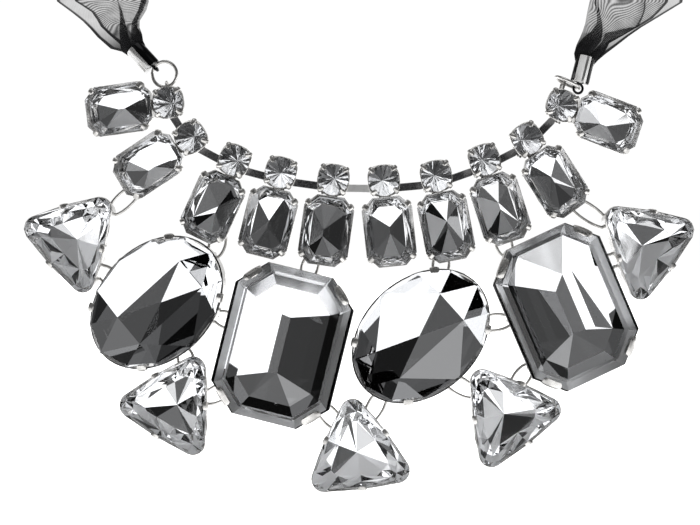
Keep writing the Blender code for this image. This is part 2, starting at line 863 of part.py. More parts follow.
def build_ribbon(side, foot, run, cross):
    mirror = -1 if side == "right" else 1
    points = [Vector((right if side == "right" else -left, y, z)) for left, right, y, z in RIBBON_ROUTE]
    start = foot + run * (CRIMP_LENGTH - RIBBON_TUCK)
    mouth = foot + run * (CRIMP_LENGTH + RIBBON_TUCK / 2)
    knot = Vector((0, KNOT_DEPTH / 2, 0))
    stop = -(KNOT_WIDTH / 2 + SEAT_GAP) if side == "left" else KNOT_WIDTH / 2 - KNOT_DEPTH / 4
    points = [start, start.lerp(mouth, 0.5), mouth] + points + [knot + Vector((stop, 0, 0))]
    rows = ribbon_rows()
    route = smooth_route(points, [row[0] for row in rows])
    bore = CRIMP_DIAMETER / 2 - CRIMP_WALL - SEAT_GAP
    packed_half = bore * PACKED_WIDTH
    packed_wall = bore * PACKED_WALL
    wide_now = cross * mirror
    loops = []
    for index, (point, row) in enumerate(zip(route, rows)):
        share, spread, fold, turn = row
        along = (route[min(index + 1, len(route) - 1)] - route[max(index - 1, 0)]).normalized()
        wide_now = (wide_now - along * wide_now.dot(along)).normalized()
        wide = Matrix.Rotation(math.radians(turn * mirror), 3, along) @ wide_now
        thick = along.cross(wide).normalized()
        half = packed_half + (RIBBON_WIDTH / 2 - packed_half) * spread
        wall = RIBBON_WALL / 2 + (packed_wall - RIBBON_WALL / 2) * max(0.0, 1 - spread * 3)
        loops.append(ribbon_loop(point, wide, thick, half, wall, RIBBON_FOLD * fold))
    bm = bmesh.new()
    add_loops(bm, loops)
    bodies = [body_of(bm)]
    if side == "right":
        bm = bmesh.new()
        bmesh.ops.create_uvsphere(bm, u_segments=10, v_segments=7, radius=0.5)
        bm.transform(Matrix.Translation(knot) @ Matrix.Diagonal((KNOT_WIDTH, KNOT_DEPTH, KNOT_HEIGHT, 1)))
        bodies.append(body_of(bm))
    mesh = fused(bodies) if len(bodies) > 1 else bodies[0]
    show("ribbon_" + side, mesh, Matrix.Identity(4), RIBBON_LOOK, smooth=True)


def build():
    for piece in list(bpy.data.objects):
        bpy.data.objects.remove(piece)
    places = lay_out()
    settings = build_settings(places)

    for number, _, _, _ in DROPS:
        cup = settings["cup_%d" % number]
        cup.parts += [cup_mesh(), claws_mesh("round", ROUND_LIFT)]
        cup.parts += [moved(collar_mesh("small"), drop_shift()), moved(claws_mesh("small"), drop_shift())]
        cup.parts.append(bridge_mesh())
        show("round_stone_%d" % number, stone_mesh("round", ROUND_LIFT), cup.frame, STONE_LOOK)
        show("octagon_stone_%d" % number, stone_mesh("small"), cup.frame @ drop_shift(), STONE_LOOK)
    for number in range(1, len(DROPS)):
        add_link(settings, number)

    for name, cut, _, _, _, _ in HANGING:
        piece = settings[name]
        piece.parts += [collar_mesh(cut), claws_mesh(cut)]
        show(name + "_stone", stone_mesh(cut), piece.frame, STONE_LOOK)

    for name, first, bearing_a, second, bearing_b in JUMP_RINGS:
        bm = connect(places, settings, first, bearing_a, second, bearing_b)
        show(name, body_of(bm), Matrix.Identity(4), METAL_LOOK, smooth=True)
    for name, bearing_a, second, bearing_b in HANGING_LOOPS:
        bm = connect(places, settings, name, bearing_a, second, bearing_b, soldered_a=True)
        bm.transform(settings[name].frame.inverted())
        settings[name].parts.append(body_of(bm))

    for row in ENDS:
        foot, run, cross = build_end(places, settings, row)
        build_ribbon(row[0], foot, run, cross)

    for number, _, _, _ in DROPS:
        cup = settings["cup_%d" % number]
        show("drop_setting_%d" % number, fused(cup.parts), cup.frame, METAL_LOOK)
    for name, _, _, _, _, _ in HANGING:
        show(name + "_setting", fused(settings[name].parts), settings[name].frame, METAL_LOOK)


build()
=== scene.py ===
import math
import random

import bmesh
import bpy
from mathutils import Matrix, Vector


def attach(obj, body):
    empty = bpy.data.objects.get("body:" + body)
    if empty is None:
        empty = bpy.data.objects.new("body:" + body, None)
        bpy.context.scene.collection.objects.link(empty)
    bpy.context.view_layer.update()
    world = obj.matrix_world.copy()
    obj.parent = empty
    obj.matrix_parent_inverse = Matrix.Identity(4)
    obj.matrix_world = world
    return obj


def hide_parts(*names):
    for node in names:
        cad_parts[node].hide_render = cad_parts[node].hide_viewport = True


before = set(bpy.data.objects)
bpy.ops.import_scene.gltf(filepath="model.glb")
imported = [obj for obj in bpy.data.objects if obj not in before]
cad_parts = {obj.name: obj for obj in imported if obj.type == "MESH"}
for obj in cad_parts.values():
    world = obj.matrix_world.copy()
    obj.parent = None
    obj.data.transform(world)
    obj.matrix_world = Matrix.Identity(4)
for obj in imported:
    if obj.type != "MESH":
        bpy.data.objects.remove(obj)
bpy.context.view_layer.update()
scene = bpy.context.scene
mm = 0.001
up = Vector((0, 0, 1))
print("frame loaded:", len(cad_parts), "nodes")


# Node trees: a socket that does sums, and one way to add any other node
class Sock:
    def __init__(self, tree, socket):
        self.tree = tree
        self.socket = socket

    def math(self, operation, *others):
        return self.tree.add("ShaderNodeMath", {"operation": operation}, dict(enumerate((self, *others))))

    def __add__(self, other):
        return self.math("ADD", other)

    def __mul__(self, other):
        return self.math("MULTIPLY", other)

    def __sub__(self, other):
        return self.math("SUBTRACT", other)

    def __rsub__(self, other):
        return self * -1 + other

    __radd__ = __add__
    __rmul__ = __mul__

    def clamp(self):
        return self.math("MAXIMUM", 0.0).math("MINIMUM", 1.0)


class Tree:
    def __init__(self, owner):
        owner.use_nodes = True
        self.nodes = owner.node_tree.nodes
        self.links = owner.node_tree.links

    def fill(self, node, sockets):
        for key, value in sockets.items():
            if isinstance(value, Sock):
                self.links.new(value.socket, node.inputs[key])
            else:
                node.inputs[key].default_value = value

    def add(self, kind, settings=None, sockets=None, output=0):
        node = self.nodes.new(kind)
        for key, value in (settings or {}).items():
            setattr(node, key, value)
        self.fill(node, sockets or {})
        return Sock(self, node.outputs[output])

    def mix(self, factor, low, high):
        return self.add("ShaderNodeMix", {"data_type": "RGBA"}, {0: factor, 6: low, 7: high}, 2)

    def smooth(self, value, low, high, toLow=0.0, toHigh=1.0):
        return self.add("ShaderNodeMapRange", {"interpolation_type": "SMOOTHSTEP"},
                        {0: value, 1: low, 2: high, 3: toLow, 4: toHigh})

    def place(self, scale=(1, 1, 1)):
        here = self.add("ShaderNodeTexCoord", output=3)
        return self.add("ShaderNodeMapping", {}, {"Vector": here, "Scale": scale})

    def read(self, name):
        return self.add("ShaderNodeAttribute", {"attribute_name": name}, output=2)

    def noise(self, where, scale, detail=2.0):
        return self.add("ShaderNodeTexNoise", {}, {"Vector": where, "Scale": scale, "Detail": detail})

    def bump(self, height, strength, distance):
        return self.add("ShaderNodeBump", {}, {"Height": height, "Strength": strength, "Distance": distance})


def makeMaterial(name, build):
    made = bpy.data.materials.new(name)
    tree = Tree(made)
    tree.fill(tree.nodes["Principled BSDF"], build(tree))
    return made


# Clear resin, polished, with a faint unevenness left by the mould
resin = {"colour": (0.985, 0.99, 1.0, 1), "hard": 1.52, "soft": 1.24, "wipe": 320.0, "smear": 0.012,
         "wave": 90.0, "waviness": 0.04}


def clearLook(tree, ior):
    where = tree.place()
    wipe = tree.noise(where, resin["wipe"], 3.0)
    wave = tree.noise(where, resin["wave"], 1.0)
    return {
        "Base Color": resin["colour"], "IOR": ior, "Transmission Weight": 1.0,
        "Roughness": tree.smooth(wipe, 0.55, 0.8, 0.0, resin["smear"]),
        "Normal": tree.bump(wave, resin["waviness"], 0.0002),
    }


# Silver foil on the pavilion, its facets of uneven polish, with pin-prick flaws; each facet's brightness is painted
# reflection, dark facets standing in for reflections of the dark studio
foil = {"bright": (0.96, 0.965, 0.975, 1), "paintedDark": (0.0, 0.0, 0.0, 1), "stain": (0.2, 0.2, 0.21, 1), "fleck": 420.0,
        "fewer": 0.93, "cloud": 140.0}


def foilLook(tree):
    where = tree.place()
    sizes = {"Vector": where, "Scale": foil["fleck"]}
    speck = tree.add("ShaderNodeTexVoronoi", {}, sizes)
    lot = tree.add("ShaderNodeSeparateColor", {}, {0: tree.add("ShaderNodeTexVoronoi", {}, sizes, 1)})
    cloud = tree.noise(where, foil["cloud"], 4.0)
    # painted reflections: the foil's colour runs from black to silver with each facet's tone
    silver = tree.mix(tree.read("tone"), foil["paintedDark"], foil["bright"])
    worn = tree.smooth(speck, 0.0, 0.12, 0.6, 0.0) * tree.smooth(lot, foil["fewer"], foil["fewer"] + 0.02)
    return {
        "Base Color": tree.mix(worn, silver, foil["stain"]),
        "Metallic": 1.0,
        "Roughness": tree.smooth(cloud, 0.45, 0.75, 0.01, 0.035) + tree.read("haze"),
    }


# Plated alloy with fine polishing lines
plates = {
    # material, bright and shaded colours, roughness from and to
    "silver": ("silver_plate", (0.66, 0.65, 0.635, 1), (0.40, 0.395, 0.385, 1), 0.20, 0.36),
    # rim: near-black plate on the top band of the oval and big collars, painted shade and dark reflection along the
    # settings' edges
    "rim": ("shaded_rim", (0.05, 0.05, 0.052, 1), (0.02, 0.02, 0.02, 1), 0.20, 0.35),
    "strip": ("dark_strip", (0.17, 0.17, 0.175, 1), (0.09, 0.09, 0.095, 1), 0.20, 0.38),
    # lighter copy of the strip plate for strip 5, a painted highlight
    "paintedHighlightStrip": ("painted_highlight_strip", (0.75, 0.75, 0.75, 1), (0.50, 0.50, 0.50, 1), 0.40, 0.60),
}
# crimp tubes: matte white where the painted highlight stripes lie, near-black painted dark reflection bands between
tube = ((1, 1, 1, 1), (0.86, 0.85, 0.83, 1), 0.08, 0.18)
paintedDarkBand = (0.015, 0.015, 0.016, 1)
polish = {"cloud": 260.0, "grit": 2600.0, "lines": 900.0, "pull": (1, 1, 14), "depth": 0.06}


def plateLook(tree, bright, shade, low, high):
    where = tree.place()
    cloud = tree.noise(where, polish["cloud"], 3.0)
    grit = tree.noise(where, polish["grit"], 2.0)
    lines = tree.noise(tree.place(polish["pull"]), polish["lines"], 2.0)
    return {
        "Base Color": tree.mix(tree.smooth(cloud, 0.4, 0.72), bright, shade),
        "Metallic": 1.0,
        "Roughness": tree.smooth(grit * 0.5 + cloud * 0.5, 0.35, 0.7, low, high),
        "Normal": tree.bump(lines, polish["depth"], 0.00005),
    }


# light and dark stripes painted along the crimp tube stand in for its reflections
def tubeLook(tree):
    paintedShine = tree.read("paintedShine")
    made = plateLook(tree, *tube)
    made["Base Color"] = tree.mix(paintedShine, paintedDarkBand, made["Base Color"])
    made["Metallic"] = 1 - paintedShine
    return made


# Black organza: an open weave, rippled where two layers lie together, darker where it is gathered
organza = {"black": (0.008, 0.008, 0.009, 1), "worn": (0.02, 0.02, 0.022, 1), "fold": (0.05, 0.05, 0.053, 1),
           "layer": 0.38, "ripple": 0.40, "pitch": 0.0009, "thread": 0.00042, "selvedge": 0.00085, "grain": 420.0,
           "swell": 95.0}
weaveNames = ("across", "along", "front", "dense", "edge", "flow")


def organzaLook(tree):
    across, along, front, dense, edge, flow = (tree.read(name) for name in weaveNames)
    where = tree.place()
    swell = tree.noise(where, organza["swell"], 1.0) * 0.012 + flow
    ripple = (swell * (2 * math.pi / organza["pitch"])).math("SINE")
    fine = tree.noise(where, organza["grain"], 2.0)
    threads = 2 * math.pi / organza["thread"]
    weave = (across * threads).math("SINE") * (along * threads).math("SINE")
    cover = organza["layer"] + front * ripple * organza["ripple"] + weave * 0.10 + (fine - 0.5) * 0.25
    hem = 1 - tree.smooth(edge, organza["selvedge"] * 0.7, organza["selvedge"] * 1.3)
    dark = (dense + hem * 0.9).clamp()
    return {
        "Base Color": tree.mix(fine, organza["black"], organza["worn"]), "Roughness": 0.7,
        "Specular IOR Level": 0.15, "Alpha": (cover * (1 - dark) + dark * 0.98).clamp(),
    }


# gathered organza: wrinkled folds in the bump, and the colour lighter along the same folds, a painted sheen on their
# ridges
def knotLook(tree):
    foldsAndSheen = tree.noise(tree.place((1, 1, 6)), organza["grain"], 3.0)
    return {"Base Color": tree.mix(foldsAndSheen, organza["black"], organza["fold"]), "Roughness": 0.6,
            "Normal": tree.bump(foldsAndSheen, 0.5, 0.0005)}


looks = {
    "organza": makeMaterial("black_organza", organzaLook),
    "knot": makeMaterial("gathered_organza", knotLook),
    "clear": makeMaterial("clear_resin", lambda tree: clearLook(tree, resin["hard"])),
    "softClear": makeMaterial("cast_resin", lambda tree: clearLook(tree, resin["soft"])),
    "foil": makeMaterial("silver_foil", foilLook),
    "polished": makeMaterial("tube_with_painted_reflections", tubeLook),
}
for key, (title, *settings) in plates.items():
    looks[key] = makeMaterial(title, lambda tree: plateLook(tree, *settings))



# Finishing a mesh into a piece
def addObject(name, data):
    made = bpy.data.objects.new(name, data)
    scene.collection.objects.link(made)
    return made


def meshOf(name, bm, materials, matrix):
    mesh = bpy.data.meshes.new(name)
    bm.to_mesh(mesh)
    bm.free()
    for material in materials:
        mesh.materials.append(material)
    mesh.transform(matrix)
    return mesh


def finishPiece(name, bm, materials, matrix=Matrix(), smooth=0, replaces=()):
    bmesh.ops.recalc_face_normals(bm, faces=bm.faces)
    mesh = meshOf(name, bm, [looks[look] for look in materials], matrix)
    if smooth:
        mesh.shade_smooth()
        mesh.set_sharp_from_angle(angle=math.radians(smooth))
    piece = addObject(name, mesh)
    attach(piece, "root")
    if replaces:
        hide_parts(*replaces)
    return piece


def addLoops(bm, loops, closed=False):
    rows = [[bm.verts.new(point) for point in loop] for loop in loops]
    count = len(rows[0])
    for row in range(len(rows) if closed else len(rows) - 1):
        low, high = rows[row], rows[(row + 1) % len(rows)]
        for index in range(count):
            after = (index + 1) % count
            bm.faces.new((low[index], low[after], high[after], high[index]))
    if not closed:
        bm.faces.new(list(reversed(rows[0])))
        bm.faces.new(rows[-1])


def circle(count):
    turns = [2 * math.pi * step / count for step in range(count)]
    return [(math.cos(turn), math.sin(turn)) for turn in turns]


# A bar of oval section along a path: side is its width's direction, sizes are half width and thickness
def addSweep(bm, path, side, sizes, closed=False, sides=8):
    loops = []
    count = len(path)
    for index, point in enumerate(path):
        before = path[index - 1] if closed or index > 0 else point
        after = path[(index + 1) % count] if closed or index < count - 1 else point
        along = (after - before).normalized()
        out = side.cross(along).normalized()
        wide, thick = sizes[index] if isinstance(sizes, list) else (sizes, sizes)
        loops.append([point + side * (wide * x) + out * (thick * y) for x, y in circle(sides)])
    addLoops(bm, loops, closed)


def ringPath(centre, longHalf, crossHalf, steps):
    return [centre + longHalf * x + crossHalf * y for x, y in circle(steps)]


# The layout: the neckline chain of drops, then every larger stone from its neighbour
chest = {"radius": 0.190, "reach": 0.114, "drop": 0.108, "offset": 0.0004}
seat = 0.0003
roundCut = {"width": 8.0 * mm, "table": 1.8 * mm, "crown": 1.3 * mm, "pavilion": 3.4 * mm, "lift": 1.0 * mm}
smallCut = {"width": 13 * mm, "length": 18 * mm, "corner": 3 * mm, "table": 2.1 * mm, "crown": 1.3 * mm,
            "pavilion": 4.2 * mm}
ovalCut = {"width": 30 * mm, "length": 40 * mm, "table": 1.9 * mm, "crown": 1.1 * mm, "pavilion": 6.0 * mm}
bigCut = {"width": 30 * mm, "length": 40 * mm, "corner": 6.7 * mm, "table": 2.6 * mm, "crown": 1.4 * mm,
          "pavilion": 6.4 * mm}
triCut = {"tip": 14.2 * mm, "side": 9.2 * mm, "corner": 3.2 * mm, "table": 3.4 * mm, "crown": 1.7 * mm,
          "pavilion": 5.2 * mm}
cuts = {"round": roundCut, "small": smallCut, "oval": ovalCut, "big": bigCut, "tri": triCut}
girdle = 0.5 * mm
culetLift = 0.7 * mm

drops = [
    # number, gap to the one before (mm), heading, hang
    (1, 0.0, 0, -173), (2, 2.8, -57, -148), (3, 4.8, -28, -115), (4, 4.2, -15, -104), (5, 5.4, -8, -98),
    (6, 4.7, -1, -84), (7, 5.3, 5, -79), (8, 5.0, 19, -72), (9, 4.3, 26, -56), (10, 4.7, 44, -19),
]
hanging = [
    # name, cut, beside, heading, gap (mm), turn
    ("oval_left", "oval", "drop_3", -120, -0.2, -49),
    ("octagon_left", "big", "drop_5", -110, 1.3, -14),
    ("oval_right", "oval", "drop_7", -103, 1.1, -48),
    ("octagon_right", "big", "drop_8", -57, -0.2, 24),
    ("trilliant_1", "tri", "drop_2", -136, 4.3, -45),
    ("trilliant_2", "tri", "octagon_left", -151, -0.3, -30),
    ("trilliant_3", "tri", "octagon_left", -56, 0.7, 7),
    ("trilliant_4", "tri", "octagon_right", -118, 2.2, 37),
    ("trilliant_5", "tri", "drop_9", -34, 5.8, 51),
]
jumpRings = [
    # first, bearing, second, bearing
    ("drop_3", -80, "oval_left", 41), ("drop_5", -119, "octagon_left", 73), ("drop_7", -93, "oval_right", 69),
    ("drop_8", -80, "octagon_right", 135), ("oval_left", -14, "octagon_left", 156),
    ("oval_right", 11, "octagon_right", -164),
]
hangingLoops = [
    # trilliant, bearing, neighbour, bearing
    ("trilliant_1", 40, "drop_2", -127), ("trilliant_1", -58, "oval_left", 160),
    ("trilliant_2", 10, "octagon_left", -142), ("trilliant_2", 73, "oval_left", -67),
    ("trilliant_3", 124, "octagon_left", -61), ("trilliant_3", 74, "oval_right", -122),
    ("trilliant_4", 144, "oval_right", -58), ("trilliant_4", 69, "octagon_right", -115),
    ("trilliant_5", 149, "drop_9", -40), ("trilliant_5", -152, "octagon_right", 44),
]


def octagonOutline(cut, grow):
    halfW, halfL = cut["width"] / 2 + grow, cut["length"] / 2 + grow
    edge = cut["corner"] + grow * (2 - math.sqrt(2)) if grow > 0 else cut["corner"] * halfW / (cut["width"] / 2)
    half = [(halfW, -halfL + edge), (halfW, halfL - edge), (halfW - edge, halfL), (-halfW + edge, halfL)]
    return half + [(-x, -y) for x, y in half]


def ovalOutline(cut, grow, sides):
    halfW, halfL = cut["width"] / 2 + grow, cut.get("length", cut["width"]) / 2 + grow
    return [(halfW * x, halfL * y) for x, y in circle(sides)]


def headingOf(angle):
    return Vector((math.cos(angle), math.sin(angle)))


def flatHeading(degrees):
    return headingOf(math.radians(degrees))


def triOutline(grow, steps=3):
    if grow < 0:
        share = 1 + grow / triCut["side"]
        return [(x * share, y * share) for x, y in triOutline(0, steps)]
    arm, flat = triCut["tip"] - triCut["corner"], triCut["side"] - triCut["corner"]
    back = (arm * arm - flat * flat) / (2 * flat - arm)
    points = []
    for third in range(3):
        tip = math.radians(90 + 120 * third)
        centre = headingOf(tip) * arm
        ends = []
        for side in (tip - math.pi / 3, tip + math.pi / 3):
            lean = centre + headingOf(side) * back
            ends.append(math.atan2(lean.y, lean.x))
        if ends[1] < ends[0]:
            ends[1] += 2 * math.pi
        for step in range(steps + 1):
            angle = ends[0] + (ends[1] - ends[0]) * step / steps
            points.append(tuple(centre + headingOf(angle) * (triCut["corner"] + grow)))
        side = tip + math.pi / 3
        points.append(((triCut["side"] + grow) * math.cos(side), (triCut["side"] + grow) * math.sin(side)))
    return points


def outlineOf(kind, grow, fine=1):
    if kind in ("small", "big"):
        return octagonOutline(cuts[kind], grow)
    if kind == "tri":
        return triOutline(grow, 3 * fine)
    return ovalOutline(cuts[kind], grow, {"round": 16, "oval": 12}[kind] * fine)


def halfOf(kind):
    return triCut["side"] if kind == "tri" else cuts[kind]["width"] / 2


def girdleHeight(kind):
    return culetLift + cuts[kind]["pavilion"] + cuts[kind].get("lift", 0)


def reachAlong(kind, turn, direction):
    spin = Matrix.Rotation(math.radians(turn), 2)
    sides = {"round": 12, "oval": 20}.get(kind)
    outline = ovalOutline(cuts[kind], 0, sides) if sides else outlineOf(kind, 0)
    return max((spin @ Vector(point)).dot(direction) for point in outline)


def rimPoint(outline, bearing):
    ray = flatHeading(bearing)
    for index, first in enumerate(outline):
        a, b = Vector(first), Vector(outline[(index + 1) % len(outline)])
        edge = b - a
        cross = ray.x * edge.y - ray.y * edge.x
        if abs(cross) < 1e-12:
            continue
        along, share = (a.x * edge.y - a.y * edge.x) / cross, (a.x * ray.y - a.y * ray.x) / cross
        if along > 0 and -1e-9 <= share <= 1 + 1e-9:
            return ray * along, Vector((edge.y, -edge.x)).normalized()


def chestFrame(along, height, turn=0):
    angle = along / chest["radius"]
    place = Vector((chest["radius"] * math.sin(angle),
                    -chest["reach"] + chest["radius"] * (1 - math.cos(angle)), height))
    side = headingOf(angle).to_3d()
    basis = Matrix((side, up, side.cross(up))).transposed().to_4x4()
    return Matrix.Translation(place) @ basis @ Matrix.Rotation(math.radians(turn), 4, "Z")


dropPitch = roundCut["width"] / 2 + seat + smallCut["length"] / 2
places = {}
spot = Vector((0, 0))
chain = []
for number, gap, heading, hang in drops:
    if number > 1:
        spot = spot + flatHeading(heading) * (roundCut["width"] + gap * mm)
    chain.append((number, spot.copy(), hang))
shift = Vector((chest["offset"], -chest["drop"])) - (chain[4][1] + chain[5][1]) / 2
for number, spot, hang in chain:
    places[f"cup_{number}"] = ("round", spot + shift, hang + 90)
    places[f"drop_{number}"] = ("small", spot + shift + flatHeading(hang) * dropPitch, hang + 90)
for name, kind, beside, heading, gap, turn in hanging:
    nearKind, near, nearTurn = places[beside]
    away = flatHeading(heading)
    apart = reachAlong(nearKind, nearTurn, away) + reachAlong(kind, turn, -away) + gap * mm
    places[name] = (kind, near + away * apart, turn)
frames = {name: chestFrame(spot.x, spot.y, turn) for name, (kind, spot, turn) in places.items()}


# How each stone is cut and foiled
stoneCuts = {
    # crown, lower: rings of corners (which points, inset in half widths, share of the height or depth)
    # jitter: how far corners stray (share, mm), stray: how far the lowest point does; tone: painted reflection
    # brightness of the foil facets, from and to
    # haze: roughness of steep facets, steep: the share of the depth they reach to
    # splinter: lower facets get a raised centre (mm, from which share of the depth and from how many mm2 up)
    "round": {"crown": [("mids", 0.45, 1.0), ("corners", 0.20, 0.60)],
              "lower": [("mids", 0.30, 0.315), ("corners", 0.60, 0.615)], "deeper": 1.35 * mm,
              "jitter": (0.02, 0.08), "stray": 0.35 * mm, "tone": (0.55, 1.0), "haze": (0, 0, 0.1)},
    "small": {"crown": [("corners", 0.34, 1.0), ("many", 0.22, 0.78), ("many", 0.10, 0.45)],
              "lower": [("many", 0.07, 0.20), ("many", 0.18, 0.46), ("corners", 0.38, 0.77)], "keel": 0.9 * mm,
              "jitter": (0.02, 0.11), "stray": 0.9 * mm, "tone": (0.65, 1.0), "haze": (0.3, 0.6, 0.8), "steep": 0.34,
              "splinter": (0.07, 0.30, 0)},
    "oval": {"crown": [("corners", 0.05, 1.0)], "lower": [], "tone": (0.75, 1.0), "haze": (0,)},
    "big": {"crown": [("corners", 0.155, 1.0)], "lower": [("corners", 0.17, 0.42), ("corners", 0.34, 0.63)],
            "keel": 7.4 * mm, "tone": (0.8, 1.0), "haze": (0.30,), "steep": 0.45},
    "tri": {"crown": [("flats", 0.50, 1.0), ("tips", 0.56, 1.0), ("many", 0.33, 0.84), ("many", 0.14, 0.45)],
            "lower": [("many", 0.10, 0.22), ("many", 0.24, 0.46), ("many", 0.42, 0.72)], "deeper": 0.3 * mm,
            "jitter": (0.025, 0.20), "stray": 0.4 * mm, "tone": (0.25, 1.0), "haze": (0,),
            "splinter": (0.55, 0.22, 2.5)},
}
facetPitch = 2.4 * mm  # of rings with many points
ovalPavilion = {"along": 11.2 * mm, "across": 4.6 * mm, "depth": 0.72}
patches = {"near": 0.1 * mm, "bigTop": 8 * mm, "bigHaze": 0.18, "roundTop": 0.5 * mm, "roundHaze": (0, 0, 0, 0.4),
           "smallHaze": (0, 0, 0.2, 0.6), "triPaintedInner": (0.08, 0.5, 1, 1, 1), "triPaintedOuter": (0.1, 1, 1, 1, 1, 1, 1, 1),
           "triTopHaze": (0, 0, 0.2), "triFootHaze": (0, 0.4, 0.6, 0.8)}
ownCuts = {
    # ribs: fold lines beside the keel, x and extra depth (mm); keelUp: how far the keel reaches up
    # openTop: left of and above this the inmost ring's corners are left out
    "octagon_left": {"ribs": [(-2.4, 0.12)]},
    "octagon_right": {"ribs": [(3.4, 0.10), (5.9, 0.10)], "keelUp": 4.4 * mm, "openTop": (5.0 * mm, 7.0 * mm)},
}
paintedFacetTones = {
    # facets of painted dark and bright reflection in the foil's colour, some with rougher foil: x, y (mm from the
    # centre, upright), brightness, at times roughness
    "oval_left": [(-2.0, 2.0, 0.06), (-4.5, -3.5, 0.55), (2.0, -2.0, 0.14), (0.5, 6.0, 0.06), (-6.0, -0.5, 0.06)],
    "oval_right": [(3.5, 2.5, 0.06), (-3.5, -3.0, 0.10)],
    "octagon_left": [(-1.2, 0.5, 0.10), (10.87, -2.71, 0.04), (13.3, -3.3, 0.35, 0.3)],
    "octagon_right": [(1.6, 1.5, 0.10), (7.6, -1.5, 0.10), (-10.23, -4.56, 0.06), (6.59, -14.8, 0.9, 0.5)],
}
dropPaintedTones = {
    # the four main facets of each drop: top, right, bottom and left (painted reflection brightness, roughness)
    1: ((0.5, 0), (1, 0.5), (0.8, 0.1), (1, 0)), 2: ((1, 0), (1, 0.5), (1, 0.25), (1, 0)),
    3: ((0.08, 0), (0.8, 0.1), (1, 0.3), (0.1, 0)), 4: ((1, 0), (0.7, 0.05), (0.35, 0.2), (0.05, 0)),
    5: ((0.10, 0), (0.5, 0), (1, 0.3), (0.35, 0.1)), 6: ((1, 0), (0.8, 0), (1, 0.35), (1, 0.05)),
    7: ((0.05, 0), (0.3, 0), (1, 0.3), (1, 0.3)), 8: ((0.06, 0), (0.06, 0), (1, 0.3), (1, 0.35)),
    9: ((1, 0), (0.1, 0.1), (0.4, 0), (1, 0.12)), 10: ((1, 0.5), (1, 0), (0.6, 0.1), (1, 0.4)),
}
dropSpots = ((0, 2.6), (1.7, 0.4), (0, -2.6), (-1.7, 0.4))
# three corners of some drops painted dark, standing in for dark reflections
paintedDarkCorners = {"drops": (3, 5, 7, 8), "spots": ((2.3, 4.2), (-2.3, 4.2), (-2.3, -4.2)), "tone": 0.08}
for number, tones in dropPaintedTones.items():
    facets = [(x, y, *tone) for (x, y), tone in zip(dropSpots, tones)]
    if number in paintedDarkCorners["drops"]:
        facets += [(x, y, paintedDarkCorners["tone"], 0) for x, y in paintedDarkCorners["spots"]]
    paintedFacetTones[f"drop_{number}"] = facets


def ringPoints(kind, which, inset):
    corners = [Vector(point) for point in outlineOf(kind, -inset * halfOf(kind))]
    sides = list(zip(corners, corners[1:] + corners[:1]))
    if which == "mids":
        return [(near + far) / 2 for near, far in sides]
    if which == "many":
        spread = []
        for near, far in sides:
            pieces = max(1, round((far - near).length / facetPitch))
            spread += [near.lerp(far, piece / pieces) for piece in range(pieces)]
        return spread
    each = len(corners) // 3
    first = {"corners": 0, "tips": each // 2 - 1, "flats": each - 1}[which]
    return corners[first::1 if which == "corners" else each]


def stonePoints(kind, chance, name, turned):
    cut, rule, own = cuts[kind], stoneCuts[kind], ownCuts.get(name, {})
    base, pavilion = girdleHeight(kind), cut["pavilion"] + rule.get("deeper", 0)
    lowest = base - pavilion
    sway, lift = rule.get("jitter", (0, 0))
    points = []

    def addRing(which, inset, height, steady=False):
        for p in ringPoints(kind, which, inset):
            wide = 1 + (0 if steady else chance.uniform(-sway, sway))
            points.append((p.x * wide, p.y * wide, height + (0 if steady else chance.uniform(-lift, lift) * mm)))

    for which, inset, height in rule["crown"]:
        addRing(which, inset, base + girdle + cut["crown"] * height, steady=height == 1.0)
    for height in (base + girdle, base):
        points += [(p.x, p.y, height) for p in ringPoints(kind, "corners", 0)]
    for which, inset, depth in rule["lower"]:
        addRing(which, inset, base - pavilion * depth)
    if "openTop" in own:
        inmost = base - pavilion * (rule["lower"][-1][2] - 0.01)
        spots = [turned @ Vector(point[:2]) for point in points]
        points = [point for point, spot in zip(points, spots)
                  if point[2] > inmost or spot.x > own["openTop"][0] or spot.y < own["openTop"][1]]
    if kind == "oval":
        points += [(x, y, base - pavilion * ovalPavilion["depth"])
                   for x in (-ovalPavilion["across"], ovalPavilion["across"])
                   for y in (-ovalPavilion["along"], ovalPavilion["along"])]
    stray, keel = rule.get("stray", 0), rule.get("keel", 0)
    off = Vector((chance.uniform(-stray, stray), chance.uniform(-stray, stray)))
    points += [(off.x, off.y + end, lowest) for end in ((-keel, own.get("keelUp", keel)) if keel else (0,))]
    for x, extra in own.get("ribs", []):
        _, inset, depth = rule["lower"][-1]
        share = abs(x) * mm / (halfOf(kind) * (1 - inset))
        reach = keel * (1 - share) + share * (cut["length"] / 2 - cut["corner"]) * 0.66
        low = lowest + pavilion * (1 - depth) * share - extra * mm
        points += [(x * mm, -reach, low), (x * mm, reach, low)]
    return points, base, lowest


